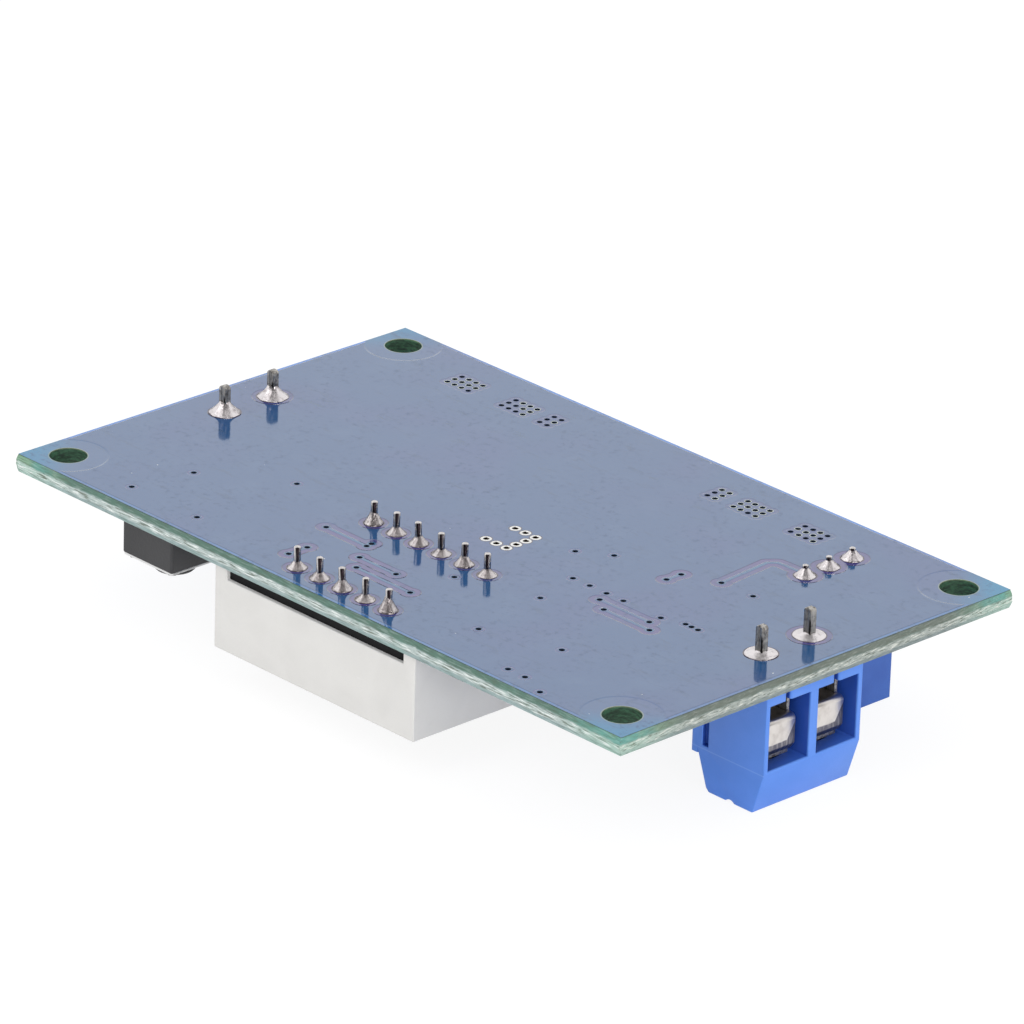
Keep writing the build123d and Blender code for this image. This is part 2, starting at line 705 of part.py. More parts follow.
def button_base():
    """Black base: round well for dome and plunger, a stake at each corner."""
    half = BUTTON_SIDE / 2
    base = block(-half, half, -half, half, -BUTTON_BODY, 0)
    base = fillet(base.edges().filter_by(Axis.Z), BUTTON_ROUND)
    base -= rod(BUTTON_WELL_D / 2, -BUTTON_BODY - 1, -BUTTON_FLOOR)
    for x, y in corner_places(STAKE_AT, STAKE_AT):
        base += prism(STAKE_D, -BUTTON_BODY - COVER_THICK - STAKE_HEAD, -BUTTON_BODY, x, y)
    return Pos(BUTTON_X, BUTTON_Y, SEAT) * base


def button_cover():
    half = COVER_SIDE / 2
    cover = block(-half, half, -half, half, -BUTTON_BODY - COVER_THICK, -BUTTON_BODY)
    cover = fillet(cover.edges().filter_by(Axis.Z), BUTTON_ROUND)
    cover -= rod(PLUNGER_D / 2 + LOOSE_GAP, -BUTTON_TOTAL, 0)
    for x, y in corner_places(STAKE_AT, STAKE_AT):
        cover -= prism(STAKE_D, -BUTTON_TOTAL, 0, x, y)
    return Pos(BUTTON_X, BUTTON_Y, SEAT) * cover


def button_plunger():
    """Plunger with a flange under the cover and a nub on the dome."""
    flange_low = -BUTTON_BODY + PLUNGER_FLANGE
    plunger = rod(PLUNGER_D / 2, -BUTTON_TOTAL, -BUTTON_BODY)
    plunger = chamfer(plunger.edges().sort_by(Axis.Z)[0], PLUNGER_EASE)
    plunger += rod(PLUNGER_FLANGE_D / 2, -BUTTON_BODY, flange_low)
    plunger += rod(PLUNGER_NUB_D / 2, flange_low, -BUTTON_FLOOR - DOME_RISE)
    return Pos(BUTTON_X, BUTTON_Y, SEAT) * plunger


def button_dome():
    """Snap dome: a thin round cap with a flat crown, open towards the board."""
    r = DOME_D / 2
    crown = DOME_CROWN_D / 2
    low = -BUTTON_FLOOR
    top = low - DOME_RISE
    outer = [(r, low), (crown, top), (0, top)]
    inner = [(0, top + DOME_THICK), (crown - DOME_THICK, top + DOME_THICK), (r - 2 * DOME_THICK, low)]
    return Pos(BUTTON_X, BUTTON_Y, SEAT) * turned(outer + inner)


def bent_leg(start, out, foot, lift, thick, width):
    """Leg that leaves a body at x = start, steps down to the seat and ends in a flat foot."""
    knee = start + (out - foot) / 2
    points = [
        (start, -lift),
        (knee + thick, -lift),
        (start + out - foot, -thick),
        (start + out, -thick),
        (start + out, 0),
        (start + out - foot - thick, 0),
        (knee, -lift + thick),
        (start, -lift + thick),
    ]
    return bar(points, Plane.XZ, width / 2)


def button_contacts():
    """Four side legs and the fixed contact under the dome."""
    leg = bent_leg(BUTTON_SIDE / 2, LEG_OUT, LEG_OUT / 2, LEG_LIFT, LEG_THICK, LEG_WIDTH)
    place = Pos(BUTTON_X, BUTTON_Y, SEAT)
    solids = []
    for turn in (0, 180):
        for y in (-LEG_Y, LEG_Y):
            solids.append(place * Rot(0, 0, turn) * Pos(0, y, 0) * leg)
    solids.append(place * rod(PLUNGER_NUB_D / 2, -BUTTON_FLOOR - LEG_THICK / 2, -BUTTON_FLOOR))
    return group(solids)


def cut_square(side, cut, z0, z1):
    """Square plate with its four corners cut off."""
    half = side / 2
    plate = block(-half, half, -half, half, z0, z1)
    return chamfer(plate.edges().filter_by(Axis.Z), cut)


def inductor_parts():
    place = Pos(INDUCTOR_X, INDUCTOR_Y, SEAT)
    low = -INDUCTOR_BASE - INDUCTOR_SLEEVE
    base = cut_square(INDUCTOR_SIDE, INDUCTOR_CORNER, -INDUCTOR_BASE, -CLIP_THICK)
    sleeve = cut_square(INDUCTOR_SIDE, INDUCTOR_CORNER, low, -INDUCTOR_BASE)
    sleeve -= rod(INDUCTOR_BORE_D / 2, low - 1, 0)
    hub = INDUCTOR_HUB_D / 2
    flange = INDUCTOR_BORE_D / 2 - LOOSE_GAP
    core = rod(hub, low, -INDUCTOR_BASE)
    core += rod(flange, low, low + INDUCTOR_FLANGE)
    core += rod(flange, -INDUCTOR_BASE - INDUCTOR_FLANGE, -INDUCTOR_BASE)
    winding = rod(WINDING_D / 2, low + INDUCTOR_FLANGE, -INDUCTOR_BASE - INDUCTOR_FLANGE)
    winding -= rod(hub, low, 0)
    clips = []
    for side in (-1, 1):
        reach = sorted((side * INDUCTOR_SIDE / 4, side * (INDUCTOR_SIDE / 2 + CLIP_THICK)))
        clip = block(reach[0], reach[1], -CLIP_WIDTH / 2, CLIP_WIDTH / 2, -CLIP_THICK, 0)
        wall = sorted((side * INDUCTOR_SIDE / 2, side * (INDUCTOR_SIDE / 2 + CLIP_THICK)))
        clip += block(wall[0], wall[1], -CLIP_WIDTH / 2, CLIP_WIDTH / 2, -2 * INDUCTOR_BASE, 0)
        clips.append(place * clip)
    save("inductor_base", place * base)
    save("inductor_sleeve", place * sleeve)
    save("inductor_core", place * core)
    save("inductor_winding", place * winding)
    save("inductor_clips", group(clips))


def capacitor_can():
    """Drawn can: bead rolled in above the base, rounded crown."""
    r = CAN_D / 2
    low = -CAN_BASE
    bead = low - 2 * CAN_BEAD
    top = -CAN_BASE - CAN_HEIGHT
    outline = [
        (0, low),
        (r, low),
        (r, bead),
        (r - CAN_BEAD, bead - CAN_BEAD),
        (r, bead - 2 * CAN_BEAD),
        (r, top + CAN_ROUND),
        (r - CAN_ROUND, top),
        (0, top),
    ]
    return turned(outline)


def capacitor_base():
    half = CAN_BASE_SIDE / 2
    base = block(-half, half, -half, half, -CAN_BASE, -CAN_LEAD_THICK)
    cut = base.edges().filter_by(Axis.Z).sort_by(Axis.X)[-2:]
    return chamfer(cut, CAN_CUT)


def capacitor_lead():
    end = CAN_BASE_SIDE / 2 + CAN_LEAD_OUT
    return block(CAN_LEAD_START, end, -CAN_LEAD_WIDTH / 2, CAN_LEAD_WIDTH / 2, -CAN_LEAD_THICK, 0)


def capacitors():
    places = [Pos(x, CAN_Y, SEAT) for x in CAN_X]
    save("capacitor_cans", group([p * capacitor_can() for p in places]))
    save("capacitor_bases", group([p * capacitor_base() for p in places]))
    leads = [p * Rot(0, 0, turn) * capacitor_lead() for p in places for turn in (0, 180)]
    save("capacitor_leads", group(leads))


def converter_parts():
    """Tab pack chip: the tab lies on the board, five legs step down from the far side."""
    place = Pos(CONVERTER_X, CONVERTER_Y, SEAT)
    half = CONVERTER_LENGTH / 2
    wide = CONVERTER_WIDTH / 2
    tab = block(-half - TAB_OUT, -half + TAB_UNDER, -TAB_WIDTH / 2, TAB_WIDTH / 2, -TAB_THICK, 0)
    body = block(-half, half, -wide, wide, -CONVERTER_HEIGHT, -RUN_GAP)
    body = chamfer(body.faces().sort_by(Axis.Z)[0].edges(), RECTIFIER_DRAFT)
    reach = CONVERTER_LEG_OUT
    leg = bent_leg(
        half, reach, CONVERTER_LEG_FOOT, CONVERTER_LEG_LIFT, CONVERTER_LEG_THICK, CONVERTER_LEG_WIDTH
    )
    legs = [Pos(0, y, 0) * leg for y in row(CONVERTER_LEGS, CONVERTER_LEG_PITCH)]
    save("converter_body", place * (body - tab))
    save("converter_tab", place * tab)
    save("converter_legs", group([place * shape for shape in legs]))


def rectifier_parts():
    """Moulded rectifier with a leg folded down and under each end."""
    place = Pos(RECTIFIER_X, RECTIFIER_Y, SEAT)
    half = RECTIFIER_LENGTH / 2
    wide = RECTIFIER_WIDTH / 2
    t = RECTIFIER_LEG_THICK
    body = block(-half, half, -wide, wide, -RECTIFIER_HEIGHT, -t)
    body = chamfer(body.faces().sort_by(Axis.Z)[0].edges(), RECTIFIER_DRAFT)
    points = [
        (half, -RECTIFIER_LEG_RISE),
        (half + t, -RECTIFIER_LEG_RISE),
        (half + t, 0),
        (half - RECTIFIER_LEG_UNDER, 0),
        (half - RECTIFIER_LEG_UNDER, -t),
        (half, -t),
    ]
    leg = bar(points, Plane.XZ, RECTIFIER_LEG_WIDTH / 2)
    save("rectifier_body", place * body)
    save("rectifier_legs", group([place * leg, place * Rot(0, 0, 180) * leg]))


def driver_parts():
    place = Pos(DRIVER_X, DRIVER_Y, SEAT)
    half = DRIVER_LENGTH / 2
    wide = DRIVER_WIDTH / 2
    body = block(-half, half, -wide, wide, -DRIVER_LIFT - DRIVER_HEIGHT, -DRIVER_LIFT)
    lift = DRIVER_LIFT + DRIVER_HEIGHT / 2
    leg = bent_leg(wide, DRIVER_LEG_OUT, DRIVER_LEG_FOOT, lift, DRIVER_LEG_THICK, DRIVER_LEG_WIDTH)
    legs = []
    for turn in (90, 270):
        for x in row(DRIVER_LEGS, DRIVER_LEG_PITCH):
            legs.append(place * Rot(0, 0, turn) * Pos(0, x, 0) * leg)
    save("driver_body", place * body)
    save("driver_legs", group(legs))


def regulator_parts():
    place = Pos(REGULATOR_X, REGULATOR_Y, SEAT)
    half = REGULATOR_LENGTH / 2
    wide = REGULATOR_WIDTH / 2
    t = REGULATOR_LEG_THICK
    tab_half = REGULATOR_TAB_WIDTH / 2
    tab = block(-tab_half, tab_half, -wide - REGULATOR_LEG_OUT, wide + REGULATOR_TAB_OUT, -t, 0)
    side_x = REGULATOR_LEG_PITCH
    legs = [tab]
    for side in (-1, 1):
        x = sorted((side * (side_x - REGULATOR_LEG_WIDTH / 2), side * (side_x + REGULATOR_LEG_WIDTH / 2)))
        legs.append(block(x[0], x[1], -wide - REGULATOR_LEG_OUT, 0, -t, 0))
    body = block(-half, half, -wide, wide, -REGULATOR_HEIGHT, 0)
    for leg in legs:
        body -= leg
    save("regulator_body", place * body)
    save("regulator_legs", group([place * leg for leg in legs]))


def chip(size, place):
    """A chip part: its body and its two end caps."""
    length, width, height = size
    half = length / 2
    inner = half - CHIP_END
    skin = CHIP_SKIN
    body = block(-inner, inner, -width / 2 + skin, width / 2 - skin, -height + skin, -skin)
    caps = [block(-half, -inner, -width / 2, width / 2, -height, 0)]
    caps.append(block(inner, half, -width / 2, width / 2, -height, 0))
    return place * body, [place * cap for cap in caps]


def chips():
    bodies = []
    ends = []
    for share, y, turns in BIG_CAPS:
        body, caps = chip(BIG_CAP_SIZE, Pos(share * BOARD_LENGTH, y, SEAT) * Rot(0, 0, 90 * turns))
        bodies.append(body)
        ends += caps
    save("chip_capacitors", group(bodies))
    save("chip_capacitor_ends", group(ends))
    bodies = []
    ends = []
    for column in range(SMALL_RES_COLUMNS):
        for line in range(SMALL_RES_ROWS):
            x = SMALL_RES_X + column * SMALL_RES_PITCH_X
            y = SMALL_RES_Y - line * SMALL_RES_PITCH_Y
            body, caps = chip(SMALL_RES_SIZE, Pos(x, y, SEAT))
            bodies.append(body)
            ends += caps
    save("chip_resistors", group(bodies))
    save("chip_resistor_ends", group(ends))


def lights():
    """Indicator lights: a small base with a tapered clear lens."""
    length, width, height = LIGHT_SIZE
    bases = []
    lenses = []
    for share, y in LIGHTS:
        place = Pos(share * BOARD_LENGTH, y, SEAT)
        bases.append(place * block(-length / 2, length / 2, -width / 2, width / 2, -height, 0))
        lens_half = length * LIGHT_LENS_SHARE / 2
        lens = block(-lens_half, lens_half, -width / 2, width / 2, -height - LIGHT_LENS, -height)
        lenses.append(place * chamfer(lens.edges().filter_by(Axis.Y).sort_by(Axis.Z)[:2], LIGHT_LENS / 3))
    save("light_bases", group(bases))
    save("light_lenses", group(lenses))


save("circuit_board", circuit_board())

bars = display_bars()
save("display_housing", display_housing())
save("display_filling", display_filling())
save("display_bars", bars)
save("display_face", display_face(bars))
pins = display_pin_places()
save("display_pins", round_pins(pins, DISPLAY_PIN_D, DISPLAY_PIN_ABOVE, DISPLAY_PIN_INSIDE))
save("display_solder", cones(pins, DISPLAY_PIN_D, DISPLAY_CONE_D, DISPLAY_CONE_HEIGHT))

save_terminal("output", Pos(OUTPUT_X, OUTPUT_Y, SEAT))
save_terminal("input", Pos(INPUT_X, INPUT_Y, SEAT) * Rot(0, 0, 180))

save("trimmer_housing", trimmer_housing())
save("trimmer_seal", trimmer_seal())
save("trimmer_strip", trimmer_strip())
save("trimmer_wheel", trimmer_wheel())
save("trimmer_screw", trimmer_screw())
pins = trimmer_pin_places()
save("trimmer_pins", round_pins(pins, TRIM_PIN_D, TRIM_PIN_ABOVE, TRIM_PIN_INSIDE))
save("trimmer_solder", cones(pins, TRIM_PIN_D, TRIM_CONE_D, TRIM_CONE_HEIGHT))

save("button_base", button_base())
save("button_cover", button_cover())
save("button_plunger", button_plunger())
save("button_dome", button_dome())
save("button_contacts", button_contacts())

inductor_parts()
capacitors()
converter_parts()
rectifier_parts()
driver_parts()
regulator_parts()
chips()
lights()
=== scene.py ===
# %% [markdown]
# # A small voltage converter board, dressed around its CAD model
# The board lies with its solder side up, so blue mask, pins and solder come first, and the plastic parts
# hang below. The solids are right in size and place. Here they get what a solid model leaves out: worn
# edges, drawn-up solder, vias, traces under the mask, and a finish for each surface.

# %% Load the frame
import math

import bmesh
import bpy
from mathutils import Matrix, Vector, noise


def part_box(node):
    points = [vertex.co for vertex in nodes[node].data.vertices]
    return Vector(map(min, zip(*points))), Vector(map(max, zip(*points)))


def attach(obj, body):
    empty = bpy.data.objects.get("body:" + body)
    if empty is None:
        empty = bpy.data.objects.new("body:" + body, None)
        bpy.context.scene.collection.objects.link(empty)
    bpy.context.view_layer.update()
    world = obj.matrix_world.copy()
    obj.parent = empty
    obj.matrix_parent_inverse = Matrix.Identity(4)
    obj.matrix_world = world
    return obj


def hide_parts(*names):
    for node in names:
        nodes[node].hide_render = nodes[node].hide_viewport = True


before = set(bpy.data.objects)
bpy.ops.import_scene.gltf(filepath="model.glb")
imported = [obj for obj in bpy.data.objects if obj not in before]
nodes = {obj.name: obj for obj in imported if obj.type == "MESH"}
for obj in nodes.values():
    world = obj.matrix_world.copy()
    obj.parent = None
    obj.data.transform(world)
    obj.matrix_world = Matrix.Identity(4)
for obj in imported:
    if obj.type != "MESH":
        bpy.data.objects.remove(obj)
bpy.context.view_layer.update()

# %% [markdown]
# ## Units and helpers
# The scene is in metres and the board is drawn in millimetres, so every new piece is modelled in
# millimetres and scaled once, at the end. The helpers below turn a mesh into a finished piece: they scale
# it, shade it, give it its finish and let it ride on a body of the CAD model.

# %% Helpers for pieces
MM = 0.001
TURN = 2 * math.pi


def add(name, data):
    """Adds an object with this data to the scene."""
    obj = bpy.data.objects.new(name, data)
    bpy.context.scene.collection.objects.link(obj)
    return obj


def in_metres(name, bm):
    """Turns a bmesh in millimetres into a mesh in metres."""
    bmesh.ops.scale(bm, vec=(MM, MM, MM), verts=bm.verts)
    mesh = bpy.data.meshes.new(name)
    bm.to_mesh(mesh)
    bm.free()
    return mesh


def show(name, mesh, *finishes, slot, body="module", stands_for=(), sharp=35):
    """Puts a finished mesh in the scene: smooth faces, sharp edges kept by angle."""
    for finish in finishes:
        mesh.materials.append(finish.material)
    mesh.shade_smooth()
    mesh.set_sharp_from_angle(angle=math.radians(sharp))
    obj = add(name, mesh)
    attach(obj, body)
    if stands_for:
        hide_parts(*stands_for)
    return obj


def piece(name, bm, *finishes, **how):
    """Turns a bmesh in millimetres into a piece in metres."""
    bmesh.ops.recalc_face_normals(bm, faces=bm.faces)
    show(name, in_metres(name, bm), *finishes, **how)


def spun(bm, x, y, profile, segments, closed=False):
    """Spins a profile of radius and height once round the upright axis at x, y; returns the new vertices."""
    start = len(bm.verts)
    made = [bm.verts.new((x + r, y, h)) for r, h in profile]
    pairs = list(zip(made, made[1:]))
    if closed:
        pairs.append((made[-1], made[0]))
    edges = [bm.edges.new(pair) for pair in pairs]
    bmesh.ops.spin(
        bm, geom=made + edges, cent=(x, y, 0), axis=(0, 0, 1), angle=TURN, steps=segments, use_merge=True
    )
    bm.verts.ensure_lookup_table()
    return bm.verts[start:]


def merged_copy(node):
    """A clean bmesh copy of a CAD node, in millimetres, with flat faces made whole again."""
    bm = bmesh.new()
    bm.from_mesh(nodes[node].data)
    bmesh.ops.scale(bm, vec=(1 / MM, 1 / MM, 1 / MM), verts=bm.verts)
    bmesh.ops.remove_doubles(bm, verts=bm.verts, dist=0.002)
    bmesh.ops.dissolve_limit(bm, angle_limit=math.radians(1), verts=bm.verts, edges=bm.edges)
    return bm


def softened(node, finish, width, slot, segments=2, body="module"):
    """A copy of a CAD node whose sharp edges are rounded a little, as moulding and tumbling do."""
    name = node + "_soft"
    mesh = in_metres(name, merged_copy(node))
    obj = show(name, mesh, finish, slot=slot, body=body, stands_for=[node], sharp=80)
    bevel = obj.modifiers.new("bevel", "BEVEL")
    bevel.width = width * MM
    bevel.segments = segments
    bevel.limit_method = "ANGLE"
    bevel.angle_limit = math.radians(30)
    bevel.use_clamp_overlap = False
    bevel.harden_normals = True


print("helpers for pieces ready")

# %% [markdown]
# ## A small language for finishes
# A finish is a shader built from numbers that vary over the surface. Writing each step as a node hides
# the idea, so a small class wraps a socket: adding two of them adds a Math node, and the formula can be
# read as a formula. Every other node comes from one method that takes its kind, settings and inputs.

# %% Sockets that can be calculated with
EASED = {"interpolation_type": "SMOOTHSTEP"}


def add_node(tree, kind, inputs=(), out=0, **settings):
    """Adds a node: its settings first, then its inputs by name or order; returns one output."""
    made = tree.nodes.new("ShaderNode" + kind)
    for key, value in settings.items():
        setattr(made, key, value)
    for key, value in inputs.items() if isinstance(inputs, dict) else enumerate(inputs):
        if isinstance(value, bpy.types.NodeSocket):
            tree.links.new(value, made.inputs[key])
        else:
            made.inputs[key].default_value = value
    return made.outputs[out]


class Value:
    """A number or vector that varies over a surface."""

    def __init__(self, finish, socket):
        self.finish = finish
        self.socket = socket

    def math(self, operation, *others):
        return self.finish.node("Math", [self, *others], operation=operation)

    def __add__(self, other):
        return self.math("ADD", other)

    def __sub__(self, other):
        return self.math("SUBTRACT", other)

    def __rsub__(self, other):
        return self.finish.node("Math", [other, self], operation="SUBTRACT")

    def __mul__(self, other):
        return self.math("MULTIPLY", other)

    def __truediv__(self, other):
        return self.math("DIVIDE", other)

    def __abs__(self):
        return self.math("ABSOLUTE")

    __radd__ = __add__
    __rmul__ = __mul__

    def low(self, other):
        return self.math("MINIMUM", other)

    def high(self, other):
        return self.math("MAXIMUM", other)

    def root(self):
        return self.math("SQRT")

    def step(self, start, end):
        """0 at start and 1 at end, eased between them."""
        inputs = {"Value": self, "From Min": start, "From Max": end}
        return self.finish.node("MapRange", inputs, **EASED)


class Finish:
    """A material whose shader is the Principled one, with the place on the object in millimetres."""

    def __init__(self, name, **constants):
        self.material = bpy.data.materials.new(name)
        self.material.use_nodes = True
        self.tree = self.material.node_tree
        self.shader = self.tree.nodes["Principled BSDF"]
        for socket, value in constants.items():
            self.shader.inputs[socket.replace("_", " ")].default_value = value
        place = self.node("TexCoord", out="Object")
        self.place = self.node("VectorMath", {0: place, "Scale": 1 / MM}, operation="SCALE")
        parts = [self.node("SeparateXYZ", [self.place], out=axis) for axis in "XYZ"]
        self.x, self.y, self.z = parts

    def node(self, kind, inputs=(), out=0, **settings):
        """Any node of this material, its inputs being numbers, colours or other values."""
        pairs = inputs.items() if isinstance(inputs, dict) else enumerate(inputs)
        plain = {key: value.socket if isinstance(value, Value) else value for key, value in pairs}
        return Value(self, add_node(self.tree, kind, plain, out, **settings))

    def noise(self, scale, detail=3, place=None, rough=0.5, warp=0.0):
        """Cloudy numbers round 0.5; scale is how many clouds there are in a millimetre."""
        inputs = {"Vector": place or self.place, "Scale": scale, "Detail": detail}
        inputs.update({"Roughness": rough, "Distortion": warp})
        return self.node("TexNoise", inputs, out="Fac")

    def stretched(self, sx, sy, sz):
        """The place with each axis scaled, for streaks."""
        return self.node("VectorMath", [self.place, (sx, sy, sz)], operation="MULTIPLY")

    def specks(self, scale, size, amount):
        """Round specks: a share of the cells of a Voronoi pattern holds a dot of the given size."""
        cells = {"Vector": self.place, "Scale": scale, "Randomness": 1.0}
        distance = self.node("TexVoronoi", cells, out="Distance")
        colour = self.node("TexVoronoi", cells, out="Color")
        chance = self.node("SeparateColor", [colour], out="Red")
        return distance.step(size, size * 0.5) * chance.step(amount, amount - 0.001)

    def mix(self, a, b, factor):
        """Colour a where the factor is 0 and b where it is 1."""
        a, b = (c if isinstance(c, Value) else (*c, 1.0) for c in (a, b))
        return self.node("Mix", {0: factor, 6: a, 7: b}, out=2, data_type="RGBA")

    def paint(self, tone, *coats):
        """Gives the finish its colour: a first one, and others laid over it, each with its own factor."""
        for colour, factor in coats:
            tone = self.mix(tone, colour, factor)
        self.tone = tone
        self.link(tone, "Base Color")

    def link(self, value, socket):
        self.tree.links.new(value.socket, self.shader.inputs[socket])

    def bump(self, height, depth):
        """Relief: height goes from 0 to 1, and depth is its real size in millimetres."""
        inputs = {"Height": height, "Distance": depth * MM, "Strength": 1.0}
        self.link(self.node("Bump", inputs), "Normal")


print("helpers for finishes ready")

# %% [markdown]
# ## Camera
# The photograph was taken with a long lens from the corner of the board, a little above it. Its place
# was worked out from the pins and corners, whose real distances are standard, so the camera is set by
# its own three axes and not by aiming it.

# %% Set the camera
EYE = Vector((390.367, -378.093, 237.263)) * MM
RIGHT = Vector((0.68661518, 0.72641912, 0.02957778))
UP = Vector((-0.30879291, 0.25455812, 0.91643172))
BACK = Vector((0.65818427, -0.63836935, 0.39909654))
lens = bpy.data.cameras.new("camera")
lens.sensor_width = 36
lens.lens = 271.57
lens.clip_start = 0.01
lens.clip_end = 50
camera = add("camera", lens)
camera.matrix_world = Matrix.Translation(EYE) @ Matrix((RIGHT, UP, BACK)).transposed().to_4x4()
bpy.context.scene.camera = camera
bpy.context.scene.view_settings.view_transform = "Standard"
print("camera at", [round(v, 3) for v in EYE])

# %% [markdown]
# ## Studio
# Bright metal shows what surrounds it, so the room matters more than the lamps. It is white behind the
# object and above it, and dim on the side where the photographer stands, up to about half way to the
# ceiling, with a narrow dim band above. That draws the dark streaks down the solder. After two mirrorings
# the room is dim all round, which keeps the mirror images of the pins in the mask deep blue. All this only
# shows in reflections. Two soft lamps add a direction.

# %% Make the room and the lamps
ROOM_LIGHT = 0.86
DIM_SIDE = 0.1
DEEP = 0.03
# Level directions: towards the photographer, and across the picture.
FRONT = (0.718, -0.696, 0.0)
ACROSS = (0.696, 0.718, 0.0)

world = bpy.data.worlds.new("studio")
bpy.context.scene.world = world
world.use_nodes = True
sky = world.node_tree
air = sky.nodes["Background"]
air.inputs["Color"].default_value = (1, 1, 1, 1)


def eased(value, start, end):
    """0 where the value is at start and 1 where it is at end."""
    return add_node(sky, "MapRange", {"Value": value, "From Min": start, "From Max": end}, **EASED)


def maths(tree, operation, *values):
    return add_node(tree, "Math", values, operation=operation)


def mirrored_ray(tree):
    """1 for rays that come off metal or gloss, or out of glass."""
    glossy = add_node(tree, "LightPath", out="Is Glossy Ray")
    clear = add_node(tree, "LightPath", out="Is Transmission Ray")
    return maths(tree, "MAXIMUM", glossy, clear)


toward = add_node(sky, "TexCoord", out="Generated")
facing = add_node(sky, "VectorMath", [toward, FRONT], out="Value", operation="DOT_PRODUCT")
across = add_node(sky, "VectorMath", [toward, ACROSS], out="Value", operation="DOT_PRODUCT")
height = add_node(sky, "SeparateXYZ", [toward], out="Z")
low_side = maths(sky, "MULTIPLY", eased(facing, 0.1, 0.45), eased(height, 0.82, 0.68))
narrow = eased(maths(sky, "ABSOLUTE", across), 0.3, 0.1)
band = maths(sky, "MULTIPLY", narrow, eased(facing, -0.1, 0.1))
dim = maths(sky, "MAXIMUM", low_side, band)
patch = add_node(sky, "MapRange", {"Value": dim, "To Min": 1.0, "To Max": DIM_SIDE})
bounces = add_node(sky, "LightPath", out="Glossy Depth")
patch = add_node(sky, "Mix", {0: maths(sky, "GREATER_THAN", bounces, 1.5), 2: patch, 3: DEEP})
lit = add_node(sky, "Mix", {0: mirrored_ray(sky), 2: ROOM_LIGHT, 3: patch})
camera_ray = add_node(sky, "LightPath", out="Is Camera Ray")
seen = add_node(sky, "Mix", {0: camera_ray, 2: lit, 3: 1.0})
sky.links.new(seen, air.inputs["Strength"])


def lamp(name, place, size, power):
    """A square soft lamp that points at the object."""
    light = bpy.data.lights.new(name, "AREA")
    light.size = size
    light.energy = power
    obj = add(name, light)
    obj.location = place
    obj.rotation_euler = (-Vector(place)).to_track_quat("-Z", "Y").to_euler()


lamp("lamp_left", (-0.25, -0.75, 0.65), 0.6, 2.0)
lamp("lamp_right", (1.0, -0.3, 0.0), 0.5, 6.0)
print("room and lamps ready")

# %% [markdown]
# ## Floor
# The module lies on the tops of its screw terminals, on a plain white floor. To the eye the floor is
# mostly a white glow laid over chalk, so that it reads as white and still keeps a faint soft shadow. From
# below it is clear, so that the side with the components can be looked at.

# %% Lay the floor
FLOOR_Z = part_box("output_housing")[0].z
VEIL = 0.82

floor_finish = bpy.data.materials.new("floor_white")
floor_finish.use_nodes = True
ground = floor_finish.node_tree
chalk = ground.nodes["Principled BSDF"]
chalk.inputs["Base Color"].default_value = (0.86, 0.86, 0.86, 1)
chalk.inputs["Roughness"].default_value = 0.9
chalk.inputs["Specular IOR Level"].default_value = 0.0
shine = add_node(ground, "Emission", {"Color": (1, 1, 1, 1), "Strength": 1.1})
camera_ray = add_node(ground, "LightPath", out="Is Camera Ray")
veil = maths(ground, "MULTIPLY", maths(ground, "MAXIMUM", camera_ray, mirrored_ray(ground)), VEIL)
top_side = add_node(ground, "MixShader", [veil, chalk.outputs[0], shine])
see_through = add_node(ground, "BsdfTransparent")
from_below = add_node(ground, "NewGeometry", out="Backfacing")
chosen = add_node(ground, "MixShader", [from_below, top_side, see_through])
ground.links.new(chosen, ground.nodes["Material Output"].inputs["Surface"])

bm = bmesh.new()
bmesh.ops.create_grid(bm, x_segments=1, y_segments=1, size=4.0)
bmesh.ops.translate(bm, vec=(0, 0, FLOOR_Z), verts=bm.verts)
mesh = bpy.data.meshes.new("floor")
bm.to_mesh(mesh)
bm.free()
mesh.materials.append(floor_finish)
floor = add("floor", mesh)
print("floor at", round(FLOOR_Z / MM, 2), "mm")

# %% [markdown]
# ## Where the holes are
# Pins, vias and traces follow a few lists. The same lists place the holes in the board, the solder on
# the pins and the marks under the mask, so the three always agree.

# %% Places on the board, in millimetres
BOARD_LENGTH = 67.5
BOARD_WIDTH = 41.0
BOARD_THICK = 1.5
CORNER_X = 31.0
CORNER_Y = 17.75
CORNER_R = 1.5
PITCH = 2.54
DISPLAY_COLUMNS = [0.18 + (i - 2.5) * PITCH for i in range(6)]
DISPLAY_FAR = -8.22
DISPLAY_NEAR = -18.38
FAR_PINS = [(x, DISPLAY_FAR) for x in DISPLAY_COLUMNS]
NEAR_PINS = [(x, DISPLAY_NEAR) for x in DISPLAY_COLUMNS[1:]]
TRIMMER_PINS = [(21.998, 12.86 + i * PITCH) for i in (-1, 0, 1)]
OUTPUT_PINS = [(29.882, -2.32), (29.882, 2.76)]
INPUT_PINS = [(-29.788, -2.59), (-29.788, 2.49)]
U_VIAS = [(3.787, y) for y in (-3.61, -2.59, -1.57, -0.55)]
U_VIAS += [(x, y) for x in (2.657, 1.527) for y in (-3.61, -0.55)]
VIA_STEP = 0.81
SMALL_VIA_R = 0.235
ROWS = (15.37, 16.18, 16.97)
COLUMNS = (
    (6.36, 7.20),
    (9.22, 10.0, 10.81, 11.62),
    (15.45, 16.3, 17.08, 17.85),
    (-23.2, -22.38, -21.57, -20.77),
    (-16.91, -16.08, -15.26, -14.45),
    (-12.49, -11.66),
)
ROW_VIAS = [(x, y) for group in COLUMNS for x in group for y in ROWS]
